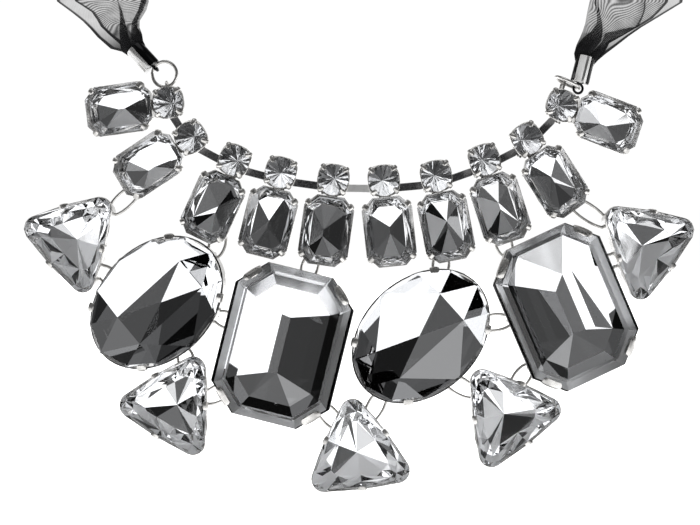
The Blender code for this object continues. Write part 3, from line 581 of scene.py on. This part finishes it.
def stoneMesh(kind, seed, name="", turn=0):
    rule, chance = stoneCuts[kind], random.Random(seed)
    turned, back = (Matrix.Rotation(math.radians(angle), 2) for angle in (turn, -turn))
    points, base, lowest = stonePoints(kind, chance, name, turned)
    bm = bmesh.new()
    for point in points:
        bm.verts.new(point)
    hull = bmesh.ops.convex_hull(bm, input=bm.verts)
    loose = [part for part in hull["geom_interior"] if isinstance(part, bmesh.types.BMVert)]
    bmesh.ops.delete(bm, geom=loose, context="VERTS")
    bmesh.ops.recalc_face_normals(bm, faces=bm.faces)
    bmesh.ops.dissolve_limit(bm, angle_limit=math.radians(0.6), verts=bm.verts, edges=bm.edges)

    def topOf(face):
        return max(vert.co.z for vert in face.verts)

    if "splinter" in rule:
        raised, share, least = rule["splinter"]
        bottom = lowest + (base - lowest) * share
        chosen = [face for face in bm.faces if topOf(face) < base + girdle / 2
                  and face.calc_center_median().z > bottom and face.calc_area() >= least * mm ** 2]
        bmesh.ops.poke(bm, faces=chosen, offset=raised * mm)
    # tone: painted reflection, the foil's brightness facet by facet, at random, by patch and from the listed facets;
    # haze: roughness
    tone, haze = bm.faces.layers.float.new("tone"), bm.faces.layers.float.new("haze")
    steepFrom = base - patches["near"] - rule.get("steep", 0) * cuts[kind]["pavilion"]
    for face in bm.faces:
        height, top = (turned @ face.calc_center_median().xy).y, topOf(face)
        foot, steep = min(vert.co.z for vert in face.verts) < lowest + patches["near"], top > steepFrom
        face.material_index = 1 if top < base + girdle / 2 else 0
        bright = chance.uniform(*rule["tone"])
        rough = chance.choice(rule["haze"]) if steep else 0.0
        if kind == "big" and height > patches["bigTop"] and steep:
            rough = 0.0 if foot else patches["bigHaze"]
        elif kind == "big" and top < base - patches["near"]:
            rough = 0.0
        elif kind == "round" and height > patches["roundTop"]:
            rough = chance.choice(patches["roundHaze"])
        elif kind == "small" and steep:
            bright = 1.0
            rough = chance.choice(patches["smallHaze"]) if height < 0 else rough
        elif kind == "tri":  # a patchwork of rough facets and of painted dark and bright reflections
            inner = foot or all(vert.co.xy.length < triCut["side"] for vert in face.verts)
            bright = chance.choice(patches["triPaintedInner" if inner and height > 0 else "triPaintedOuter"])
            rough = chance.choice(patches["triTopHaze" if height > 0 else "triFootHaze"])
        for x, y, shade, *rougher in paintedFacetTones.get(name, []):
            mark = back @ Vector((x * mm, y * mm))
            around = [vert.co.xy - mark for vert in face.verts]
            sides = [a.cross(b) for a, b in zip(around, around[1:] + around[:1])]
            if face.material_index and (max(sides) <= 0 or min(sides) >= 0):
                bright, rough = shade, rougher[0] if rougher else rough
        face[tone], face[haze] = bright, rough
    return bm


# Claw settings
claws = {
    # cut: bearings, half width, half thickness, reach over the crown (mm), how far it stands out (share)
    "round": ((45, 135, 225, 315), 0.60, 0.36, 0.80, 1.15),
    "small": ((51, 129, 231, 309), 0.80, 0.34, 0.95, 0.6),
    "oval": ((53, 127, 233, 307), 1.25, 0.34, 1.0, 0.55),
    "big": ((54, 126, 234, 306), 2.7, 0.36, 1.1, 1.0),
    "tri": ((30, 150, 270), 1.1, 0.24, 0.8, 0.4),
}
collar = {"out": {"round": 0.16 * mm, "small": 0.04 * mm, "oval": -0.12 * mm, "big": 0.85 * mm, "tri": 0.12 * mm},
          "square": 0.45 * mm, "wall": 0.45 * mm, "lean": 0.9 * mm, "base": 3.3 * mm, "cup": 1.9 * mm,
          "lip": 0.15 * mm}
wire = {"staple": 0.35 * mm, "stapleHalf": 1.3 * mm, "stapleDrop": 2.2 * mm, "ring": 0.40 * mm,
        "depth": 1.0 * mm, "across": 2.1 * mm, "eye": 1.25 * mm, "longEye": 2.1 * mm}


def addCollar(bm, kind, matrix):
    fine = {"round": 2, "small": 1, "oval": 5, "big": 1, "tri": 2}[kind]
    top, foot = girdleHeight(kind) - 0.1 * mm, -0.2 * mm - collar["lean"]
    out, reach = collar["out"][kind], collar["cup"] if kind == "round" else collar["base"]
    profile = [
        (foot - reach, 0), (foot, 0), (foot + 0.12 * mm, 0.2 * mm), (foot + 0.3 * mm, 0.9 * mm),
        (out - 0.15 * mm, top - 0.7 * mm), (out, top - 0.5 * mm),
        (out, top + collar["lip"]), (out - 0.08 * mm, top + collar["lip"] + 0.07 * mm),
        (out - collar["wall"] + 0.22 * mm, top + collar["lip"]), (0.02 * mm, top - 0.25 * mm),
        (-0.9 * mm, top - 1.3 * mm), (foot - 0.3 * mm, 0.8 * mm),
    ]
    loops = []
    for grow, height in profile:
        loop = []
        for x, y in outlineOf(kind, grow, fine):
            bulge = 1.0
            if kind == "round" and grow > 0:  # the cup is drawn out to its four claws
                bulge += collar["square"] * (0.5 - 0.5 * math.cos(4 * math.atan2(y, x))) / math.hypot(x, y)
            if kind == "big" and grow > 0:  # the wall shows beside the long sides only
                y *= (bigCut["length"] / 2 + 0.1 * mm) / (bigCut["length"] / 2 + grow)
            loop.append(matrix @ Vector((x * bulge, y * bulge, height)))
        loops.append(loop)
    before = len(bm.faces)
    addLoops(bm, loops, closed=True)
    # the top band of oval and big collars takes the near-black rim plate, painted shade and dark reflection
    if kind in ("oval", "big"):
        bm.faces.ensure_lookup_table()
        local = matrix.inverted()
        for face in bm.faces[before:]:
            face.material_index = 1 if (local @ face.calc_center_median()).z > top - 0.65 * mm else 0


def addClaws(bm, kind, matrix):
    bearings, wide, thick, reach, stand = claws[kind]
    base, slope = girdleHeight(kind), cuts[kind]["crown"] / cuts[kind]["table"]
    top = base + girdle
    outline = outlineOf(kind, 0, 3 if kind == "oval" else 1)
    rows = [
        # out, height, half width and thickness shares
        (-0.55, base - 1.9 * mm, 0.7, 0.7), (0.05, base - 1.2 * mm, 0.8, 0.9), (0.45, base - 0.5 * mm, 0.9, 1.0),
        (0.62, base + girdle / 2, 1.0, 1.0), (0.55, top + 0.25 * mm, 1.0, 1.05), (0.25, top + 0.55 * mm, 1.0, 1.1),
    ]
    for share, above, wider, thicker in ((0.4, 0.42, 1.0, 1.05), (0.85, 0.30, 0.85, 0.8), (1, 0.18, 0.5, 0.4)):
        rows.append((-reach * share, top + reach * share * slope * mm + above * mm, wider, thicker))
    for bearing in bearings:
        point, normal = rimPoint(outline, bearing)
        out, side = normal.to_3d(), Vector((-normal.y, normal.x, 0))
        path = [matrix @ (point.to_3d() + out * (beyond * (stand if beyond > 0 else 1) * mm) + up * height)
                for beyond, height, _, _ in rows]
        sizes = [(wide * w * mm, thick * t * mm) for _, _, w, t in rows]
        addSweep(bm, path, matrix.to_3x3() @ side, sizes, sides=12)


def basePoint(name, bearing):
    kind, _, turn = places[name]
    middle = -0.9 * mm - collar["base"] / 2
    return rimPoint(outlineOf(kind, middle, 2 if kind == "oval" else 1), bearing - turn)[0].to_3d()


def addStaple(bm, matrix, point, toward):
    along = (matrix.inverted() @ toward - point).xy.to_3d().normalized()
    half, drop, bend = wire["stapleHalf"], wire["stapleDrop"], 0.7 * mm
    rows = [(-half, -0.3 * mm), (-half, drop - bend), (-half + bend * 0.3, drop - bend * 0.3), (-half + bend, drop)]
    rows += [(-run, low) for run, low in reversed(rows)]
    path = [matrix @ (point + along * run - up * low) for run, low in rows]
    addSweep(bm, path, matrix.to_3x3() @ up.cross(along), wire["staple"])


metal = {name: bmesh.new() for name in frames if not name.startswith("drop_")}


def metalOf(name):
    return metal[name.replace("drop_", "cup_")]


def addConnector(nameA, bearingA, nameB, bearingB, soldered):
    pointA, pointB = basePoint(nameA, bearingA), basePoint(nameB, bearingB)
    matrixA, matrixB = frames[nameA], frames[nameB]
    endA = matrixA @ (pointA + up * (0.2 * mm if soldered else -wire["depth"]))
    endB = matrixB @ (pointB - up * wire["depth"])
    if not soldered:
        addStaple(metalOf(nameA), matrixA, pointA, endB)
    addStaple(metalOf(nameB), matrixB, pointB, endA)
    span = endB - endA
    front = (matrixA.to_3x3().col[2] + matrixB.to_3x3().col[2]).normalized()
    across = front.cross(span).normalized()
    half = span / 2
    path = ringPath(endA + half, half, across * min(half.length, wire["across"]), 28)
    bm = metalOf(nameA) if soldered else bmesh.new()
    addSweep(bm, path, span.cross(across).normalized(), wire["ring"], closed=True, sides=10)
    return bm


for number, ring in enumerate(jumpRings, 1):
    finishPiece(f"ring_{number}_wire", addConnector(*ring, False), ["silver"], smooth=50, replaces=[f"ring_{number}"])
for loop in hangingLoops:
    addConnector(*loop, True)

# Flat dark strips from cup to cup, each held by a staple behind the next one
strip = {"width": 2.0 * mm, "thick": 0.5 * mm, "side": 2.1 * mm, "edge": 0.6, "face": 0.9}
stripWidths = ((0, 0.8), (0.04, 1), (0.80, 1), (0.83, 0.82), (0.86, 1), (0.97, 1.25), (1.0, 1.05))


def addStrip(number):
    near, far = frames[f"cup_{number}"], frames[f"cup_{number + 1}"]
    along = (far.translation - near.translation).normalized()
    sideways = (along * up.dot(along) - up).normalized() * strip["side"]
    frontA, frontB = near.to_3x3().col[2], far.to_3x3().col[2]
    start = near.translation + along * 2 * mm + sideways - frontA * 0.05 * mm
    end = far.translation - along * 1.6 * mm + sideways - frontB * 0.55 * mm
    run = (end - start).normalized()
    wide = run.cross((frontA + frontB).normalized()).normalized()
    thick = wide.cross(run).normalized() * strip["thick"] / 2
    face, edge = strip["face"], strip["edge"]
    corners = [(-1, -edge), (-face, -1), (face, -1), (1, -edge)]
    corners += [(-x, -y) for x, y in corners]
    bm = bmesh.new()
    addLoops(bm, [[start.lerp(end, share) + wide * strip["width"] / 2 * width * x + thick * y for x, y in corners]
                  for share, width in stripWidths])
    keep = end - run * 0.9 * mm
    low = keep - frontB * 0.9 * mm
    half = wide * (strip["width"] / 2 + 0.65 * mm)
    bends = ((keep, -1, 0.8), (low, -1, 0), (low, -0.75, -0.25), (low, 0.75, -0.25), (low, 1, 0), (keep, 1, 0.8))
    path = [place + half * x + frontB * y * mm for place, x, y in bends]
    addSweep(metal[f"cup_{number + 1}"], path, run, wire["staple"])
    return bm


stripMesh = {number: addStrip(number) for number in range(1, len(drops))}

# End rings and ribbon crimps
crimp = {"width": 5.0 * mm, "length": 7.2 * mm, "wall": 0.4 * mm}
endRing = {"across": 7.5 * mm, "wire": 0.45 * mm}
ends = [
    # side, cup, eye bearing, eye half length, bearing of the crimp's eye, edge on, crimp axis, lean
    ("left", 1, 107, wire["eye"], 145, False, 134, 4),
    ("right", 10, 73, wire["longEye"], -27, True, 74, 4),
]
droop = {"left": (0.3 * mm, -1.1 * mm), "right": (0, 0)}
paintedStripes = {
    # how far across the tube each painted reflection stripe starts, and its brightness
    "left": ((0, 0.75), (0.22, 1.0), (0.30, 0.5), (0.55, 0.0)),
    "right": ((0, 0.05), (0.09, 1.0), (0.42, 0.35), (0.56, 1.0), (0.68, 0.0), (0.93, 0.8)),
}
mouths = {}


def headingIn(basis, degrees):
    return basis @ flatHeading(degrees).to_3d()


for side, number, eye, half, toward, edgeOn, axis, lean in ends:
    _, spot, turn = places[f"cup_{number}"]
    matrix = frames[f"cup_{number}"]
    out = flatHeading(eye - turn).to_3d()
    centre = out * (roundCut["width"] / 2 - 0.9 * mm + half + 0.15 * mm) + up * 0.7 * mm
    path = [matrix @ point for point in ringPath(centre, out * half, up * wire["eye"], 20)]
    addSweep(metal[f"cup_{number}"], path, matrix.to_3x3() @ out.cross(up), wire["staple"], closed=True)
    hook = matrix @ (centre + out * (half - wire["eye"]))
    basis = chestFrame(spot.x, spot.y).to_3x3()
    front = basis.col[2].copy()
    radius = endRing["across"] / 2 - endRing["wire"]
    if edgeOn:
        longHalf, crossHalf = headingIn(basis, toward), front
        middle = hook + front * radius
        eyeCentre = middle + longHalf * radius
        eyePlane = front
    else:
        longHalf, crossHalf = basis.col[0].copy(), basis.col[1].copy()
        middle = hook + headingIn(basis, eye) * radius
        eyeCentre = middle + headingIn(basis, toward) * radius
        eyePlane = headingIn(basis, axis).cross(front).normalized()
    bm = bmesh.new()
    path = ringPath(middle, longHalf * radius, crossHalf * radius, 40)
    addSweep(bm, path, longHalf.cross(crossHalf), endRing["wire"], closed=True, sides=12)
    finishPiece(f"end_ring_{side}_wire", bm, ["silver"], smooth=50, replaces=["end_ring_" + side])
    run = (headingIn(basis, axis) + front * math.tan(math.radians(-lean))).normalized()
    cross = run.cross(front).normalized()
    deep = cross.cross(run).normalized()
    foot = eyeCentre + run * (wire["eye"] + 0.15 * mm)
    foot += basis.col[0] * droop[side][0] + basis.col[1] * droop[side][1]
    bm = bmesh.new()
    outer, inner, length = crimp["width"] / 2, crimp["width"] / 2 - crimp["wall"], crimp["length"]
    rows = [(outer - 0.5 * mm, 0), (outer - 0.12 * mm, 0.1 * mm), (outer, 0.35 * mm), (outer, length - 0.2 * mm),
            (outer - 0.1 * mm, length), (inner, length - 0.05 * mm), (inner, 0.9 * mm)]
    addLoops(bm, [ringPath(foot + run * height, cross * wide, deep * wide, 72) for wide, height in rows])
    # painted reflection stripes: each face's brightness set by how far across the tube it lies
    paintedShine = bm.faces.layers.float.new("paintedShine")
    for face in bm.faces:
        over = ((face.calc_center_median() - foot).dot(cross) / outer + 1) / 2
        face[paintedShine] = [bright for start, bright in paintedStripes[side] if over >= start][-1]
    eyeCross = eyePlane.cross(run).normalized()
    path = ringPath(eyeCentre, run * wire["eye"], eyeCross * wire["eye"], 20)
    addSweep(bm, path, run.cross(eyeCross).normalized(), wire["staple"], closed=True)
    finishPiece(f"crimp_{side}_tube", bm, ["polished"], smooth=40, replaces=["crimp_" + side])
    mouths[side] = foot + run * length

# Ribbons: folded lengthwise so one selvedge shows past the other, and pleated twice into each crimp
ribbonRoute = [
    # left, right, y, z
    (0.0705, 0.0765, -0.0830, -0.0460), (0.0700, 0.0735, -0.0590, -0.0285), (0.0590, 0.0605, -0.0330, -0.0130),
    (0.0400, 0.0405, -0.0110, -0.0035), (0.0200, 0.0200, 0.0020, 0.0000),
]
ribbonRows = {
    # outer edge x, z, inner edge x, z (mm from the crimp's mouth), then how far in from the outer edge the second
    # selvedge lies, where each pleat starts and ends, and how tightly the cloth is gathered
    "left": [
        (1.0, -3.8, 3.8, -1.2, 0.05, 0.10, 0.50, 0.55, 0.98, 1.0),
        (-3.2, -1.0, 2.3, 1.8, 0.04, 0.06, 0.50, 0.55, 0.98, 1.0),
        (-6.2, -0.2, 2.0, 3.6, 0.30, 0.34, 0.62, 0.68, 0.99, 0.8),
        (-9.6, 2.8, 1.3, 5.4, 0.27, 0.52, 0.71, 0.80, 0.95, 0.25),
        (-11.7, 5.2, 1.3, 7.2, 0.22, 0.60, 0.71, 0.85, 0.96, 0.08),
        (-13.7, 7.2, 2.1, 8.5, 0.24, 0.62, 0.685, 0.87, 0.955, 0.0),
        (-16.3, 9.3, 3.0, 10.1, 0.26, 0.635, 0.67, 0.89, 0.96, 0.0),
        (-20.5, 12.4, 3.6, 12.4, 0.20, 0.66, 0.67, 0.915, 0.975, 0.0),
    ],
    "right": [
        (1.0, -3.3, -2.7, -2.2, 0.04, 0.06, 0.45, 0.50, 0.98, 1.0),
        (3.1, -0.9, -3.1, 0.9, 0.03, 0.04, 0.45, 0.50, 0.98, 1.0),
        (5.0, 0.7, -2.5, 3.0, 0.06, 0.08, 0.40, 0.42, 0.97, 0.8),
        (8.3, 3.2, -1.5, 5.1, 0.22, 0.26, 0.42, 0.45, 0.93, 0.35),
        (11.5, 5.7, -0.7, 6.9, 0.12, 0.20, 0.52, 0.58, 0.83, 0.15),
        (14.8, 8.0, 0.0, 8.9, 0.06, 0.07, 0.12, 0.70, 0.80, 0.05),
        (18.6, 10.3, 0.5, 11.5, 0.05, 0.20, 0.22, 0.81, 0.86, 0.0),
        (25.6, 14.6, 1.2, 14.6, 0.16, 0.40, 0.41, 0.92, 0.955, 0.0),
    ],
}
ribbonHidden = [
    # share of the rest of the way, half width (mm), turn (degrees)
    (0.12, 12.2, 5), (0.24, 11.6, 10), (0.36, 11.2, 14), (0.48, 10.8, 20), (0.60, 10.4, 30), (0.70, 9.6, 40),
    (0.79, 8.4, 50), (0.87, 6.4, 60), (0.93, 4.2, 66), (0.975, 2.6, 69), (1.0, 1.8, 70),
]
fabric = {
    # how far back the shown part ends, share of the way by which the pleats are even and where gathering starts
    "behind": -0.0985, "settled": 0.36, "gathers": 0.85, "pleats": (0.45, 0.50, 0.75, 0.80),
    # depth of one level, swell, and how many rows down the wide and the narrow pleat stay dark
    "layer": 0.45 * mm, "wave": 0.5 * mm, "wedgeRows": 21, "bandRows": 24,
}
knotSize = {"x": 6.5 * mm, "y": 4.25 * mm, "z": 5.25 * mm, "middle": 4.25 * mm}


def smoothRoute(points, shares):
    padded = [points[0] * 2 - points[1]] + points + [points[-1] * 2 - points[-2]]
    fine = []
    for a, b, c, d in zip(padded, padded[1:], padded[2:], padded[3:]):
        for step in range(20):
            t = step / 20
            fine.append(0.5 * ((2 * b) + (c - a) * t + (2 * a - 5 * b + 4 * c - d) * t * t
                               + (3 * b - a - 3 * c + d) * t ** 3))
    fine.append(points[-1])
    lengths = [0.0]
    for near, far in zip(fine, fine[1:]):
        lengths.append(lengths[-1] + (far - near).length)
    spots = []
    for share in shares:
        goal = lengths[-1] * share
        at = max(index for index in range(len(fine) - 1) if lengths[index] <= goal + 1e-9)
        part = (goal - lengths[at]) / (lengths[at + 1] - lengths[at])
        spots.append((fine[at].lerp(fine[at + 1], part), (fine[at + 1] - fine[at]).normalized()))
    return spots


def ribbonSection(selvedge, pleats):
    # (share across, depth level, layer is in front) from one selvedge round to the other
    c1, c2, d1, d2 = pleats
    points, start = [(0.0, 0.0, 0)], 0.0
    for stop, steps, level, front in ((1.0, 12, 0.0, 0), (d1, 3, 3.0, 1), (d2, 2, 2.4, 1), (c1, 5, 1.8, 1),
                                      (c2, 2, 1.2, 1), (selvedge, 7, 0.7, 1)):
        points += [(start + (stop - start) * (step / steps), level, front) for step in range(1, steps + 1)]
        start = stop
    return points


def blend(low, high, share):
    if isinstance(low, tuple):
        return tuple(blend(one, two, share) for one, two in zip(low, high))
    return low + (high - low) * share


def ribbonWay(side):
    # (outer edge, inner edge, where the front faces, selvedge, pleats, how gathered) from the crimp to the knot
    mouth = mouths[side]
    sign = -1 if side == "left" else 1
    rows, table = [], ribbonRows[side]
    for index, (x0, z0, x1, z1, selvedge, c1, c2, d1, d2, gathered) in enumerate(table):
        back = mouth.y + (index / (len(table) - 1)) ** 1.5 * (fabric["behind"] - mouth.y)
        outer = Vector((mouth.x + x0 * mm, back, mouth.z + z0 * mm))
        inner = Vector((mouth.x + x1 * mm, back, mouth.z + z1 * mm))
        rows.append((outer, inner, Vector((0, -1, 0)), selvedge, (c1, c2, d1, d2), gathered))
    outer, inner, _, selvedge, shownPleats, _ = rows[-1]
    route = [Vector((sign * (left if side == "left" else right), y, z)) for left, right, y, z in ribbonRoute]
    stop = Vector((sign * (knotSize["x"] - 2.0 * mm), knotSize["middle"], 0))
    spots = smoothRoute([(outer + inner) / 2] + route + [stop], [share for share, _, _ in ribbonHidden])
    wide = (inner - outer).normalized()
    for (share, half, turn), (spot, along) in zip(ribbonHidden, spots):
        wide = (wide - along * wide.dot(along)).normalized()
        turned = Matrix.Rotation(math.radians(-sign * turn), 3, along) @ wide
        front = along.cross(turned).normalized() * -sign
        ease = min(1.0, share / fabric["settled"])
        pleats = tuple(a + (b - a) * ease for a, b in zip(shownPleats, fabric["pleats"]))
        gathered = max(0.0, (share - fabric["gathers"]) / (1 - fabric["gathers"]))
        rows.append((spot - turned * half * mm, spot + turned * half * mm, front, selvedge, pleats, gathered))
    return rows


def ribbonPiece(side):
    rows = ribbonWay(side)
    rows = [blend(low, high, step / 3) for low, high in zip(rows, rows[1:]) for step in range(3)] + rows[-1:]
    bm = bmesh.new()
    layers = [bm.verts.layers.float.new(name) for name in weaveNames]
    travelled, before, grid = 0.0, None, []
    for index, (outer, inner, front, selvedge, pleats, gathered) in enumerate(rows):
        centre = (outer + inner) / 2
        travelled += (centre - before).length if before is not None else 0
        before = centre
        section = ribbonSection(selvedge, pleats)
        width, marks, line = (inner - outer).length, [0.0], []
        for near, far in zip(section, section[1:]):
            marks.append(marks[-1] + abs(far[0] - near[0]) * width)
        wave = fabric["wave"] * (1 - gathered)
        for (at, level, face), mark in zip(section, marks):
            billow = wave * (math.sin(at * 9 + index * 0.25 + face) + 0.6 * math.sin(at * 17 - index * 0.4))
            vert = bm.verts.new(outer.lerp(inner, at) + front.normalized() * (level * fabric["layer"] + billow))
            inFirst = pleats[0] - 1e-6 < at < pleats[1] + 1e-6 and 1 < level < 2
            inSecond = pleats[2] - 1e-6 < at < pleats[3] + 1e-6 and level > 2
            wedge, band = (inFirst, inSecond) if side == "left" else (inSecond, inFirst)
            dark = 0.95 * (1 - (index / fabric["wedgeRows"]) ** 2) if wedge else 0.5 if band else 0.0
            flow = travelled * 0.8 + mark * 0.35 if side == "left" else at * 0.020 + travelled * 0.1
            values = (mark, travelled, face, max(gathered, dark if index < fabric["bandRows"] else 0.0),
                      min(mark, marks[-1] - mark), flow)
            for layer, value in zip(layers, values):
                vert[layer] = value
            line.append(vert)
        grid.append(line)
    for low, high in zip(grid, grid[1:]):
        for a, b, c, d in zip(low, low[1:], high[1:], high):
            bm.faces.new((a, b, c, d))
    area = sum(face.calc_area() for face in bm.faces)
    print("ribbon", side, "length", round(travelled, 4), "area", round(area, 6))
    return finishPiece(f"ribbon_{side}_cloth", bm, ["organza"], smooth=180, replaces=["ribbon_" + side])


ribbons = [ribbonPiece(side) for side in ("left", "right")]
bm = bmesh.new()
bmesh.ops.create_uvsphere(bm, u_segments=48, v_segments=32, radius=1)
for vert in bm.verts:
    x, y, z = vert.co
    turn = math.atan2(z, y)
    fold = 1 + 0.05 * math.sin(7 * turn + 3 * x) * (1 - x * x) + 0.04 * math.sin(13 * turn - 5 * x)
    fold *= 1 - 0.12 * math.exp(-((abs(x) - 0.62) / 0.12) ** 2)
    vert.co = Vector((x * knotSize["x"], y * knotSize["y"] * fold + knotSize["middle"], z * knotSize["z"] * fold))
knot = finishPiece("ribbon_knot", bm, ["knot"], smooth=60)
for ribbon, side in zip(ribbons, ("left", "right")):
    "crimp_%s_tube" % side
    [knot] if side == "right" else ()
print("ribbons built")


def addSetting(bm, kind, matrix):
    addCollar(bm, kind, matrix)
    addClaws(bm, kind, matrix)


# Stones and their settings
for number, *_ in drops:
    cup, below = frames[f"cup_{number}"], frames[f"drop_{number}"]
    finishPiece(f"round_cut_{number}", stoneMesh("round", number, turn=places[f"cup_{number}"][2]),
                ["softClear", "foil"], cup, replaces=[f"round_stone_{number}"])
    finishPiece(f"octagon_cut_{number}", stoneMesh("small", 20 + number, f"drop_{number}"),
                ["softClear", "foil"], below, replaces=[f"octagon_stone_{number}"])
    bm = metal[f"cup_{number}"]
    addSetting(bm, "round", cup)
    addSetting(bm, "small", below)
    loops = [[cup @ Vector((x * 1.5 * mm, y, z * mm)) for x, z in ((-1, 0), (1, 0), (1, 0.8), (-1, 0.8))]
             for y in (-2.2 * mm, -dropPitch + 7.0 * mm)]
    addLoops(bm, loops)
    finishPiece(f"drop_metal_{number}", bm, ["silver", "rim"], smooth=40,
                replaces=[f"drop_setting_{number}"])
    if number in stripMesh:
        # strip 5 gets the lighter copy of the strip plate, a painted highlight
        look = "paintedHighlightStrip" if number == 5 else "strip"
        finishPiece(f"link_strip_{number}", stripMesh[number], [look], smooth=30)
for index, (name, kind, *_) in enumerate(hanging):
    finishPiece(name + "_cut", stoneMesh(kind, 50 + index, name, places[name][2]),
                ["clear" if kind == "big" else "softClear", "foil"], frames[name],
                replaces=[name + "_stone"])
    addSetting(metal[name], kind, frames[name])
    finishPiece(name + "_metal", metal[name], ["silver", "rim"], smooth=40, replaces=[name + "_setting"])
print("stones and settings built")

# Studio: white below and behind, darker above and round the camera, with soft boxes round it
studio = {"floor": -0.1897, "edge": -0.55, "left": 0.045, "right": 0.075, "backdrop": 1.02}
roomLayers = [
    # where to (above, front, its core, back), cosines where it starts and is whole, brightness
    ((0, 0, 1), 0.25, 0.6, 0.17), ((0, -1, 0), 0.80, 0.95, 0.14), ((0, -1, 0), 0.965, 0.99, 0.045),
    ((0, 1, 0), 0.62, 0.80, 1.0),
]
softBoxes = [
    # azimuth (0 is the camera, + to the right), elevation, half size (degrees), edge, brightness
    (106, 0, 15, 4, 1.5), (-100, 0, 15, 4, 1.5), (0, 84, 17, 5, 1.5), (50, 42, 9, 9, 0.45), (-50, 42, 9, 9, 0.40),
]


def aim(azimuth, elevation):
    a, e = math.radians(azimuth), math.radians(elevation)
    return (math.sin(a) * math.cos(e), -math.cos(a) * math.cos(e), math.sin(e))


def lightRoom():
    world = bpy.data.worlds.new("studio")
    scene.world = world
    tree = Tree(world)
    way = tree.add("ShaderNodeTexCoord")

    def toward(direction):
        return tree.add("ShaderNodeVectorMath", {"operation": "DOT_PRODUCT"}, {0: way, 1: direction}, 1)

    tone = tree.smooth(toward((1, 0, 0)), -0.3, 0.3, studio["left"], studio["right"])
    layers = list(roomLayers)
    for azimuth, elevation, size, edge, bright in softBoxes:
        near, far = math.cos(math.radians(size)), math.cos(math.radians(size + edge))
        layers.append((aim(azimuth, elevation), far, near, bright))
    for direction, start, whole, bright in layers:
        share = tree.smooth(toward(direction), start, whole)
        tone = tone * (1 - share) + share * bright
    seen = tree.add("ShaderNodeLightPath")
    tone = tone * (1 - seen) + seen * studio["backdrop"]
    tree.fill(tree.nodes["Background"], {"Strength": tone, "Color": (1, 1, 1, 1)})


def layFloor():
    bm = bmesh.new()
    bmesh.ops.create_grid(bm, x_segments=2, y_segments=2, size=15)
    look = makeMaterial("pale_floor", lambda tree: {"Base Color": (0.9, 0.9, 0.9, 1), "Roughness": 0.12,
                                                    "Emission Color": (1, 1, 1, 1), "Emission Strength": 1.3})
    place = Matrix.Translation((0, 15 + studio["edge"], studio["floor"]))
    floor = addObject("floor", meshOf("floor", bm, [look], place))


def placeCamera():
    view = {"x": -1.8 * mm, "z": -129.3 * mm, "plane": -0.115, "away": 1.6, "wide": 0.1813}
    data = bpy.data.cameras.new("camera")
    data.lens = data.sensor_width * view["away"] / view["wide"]
    camera = addObject("camera", data)
    camera.location = (view["x"], view["plane"] - view["away"], view["z"])
    camera.rotation_euler = (math.pi / 2, 0, 0)
    scene.camera = camera


lightRoom()
layFloor()
placeCamera()
scene.view_settings.view_transform = "Standard"
print("studio set")
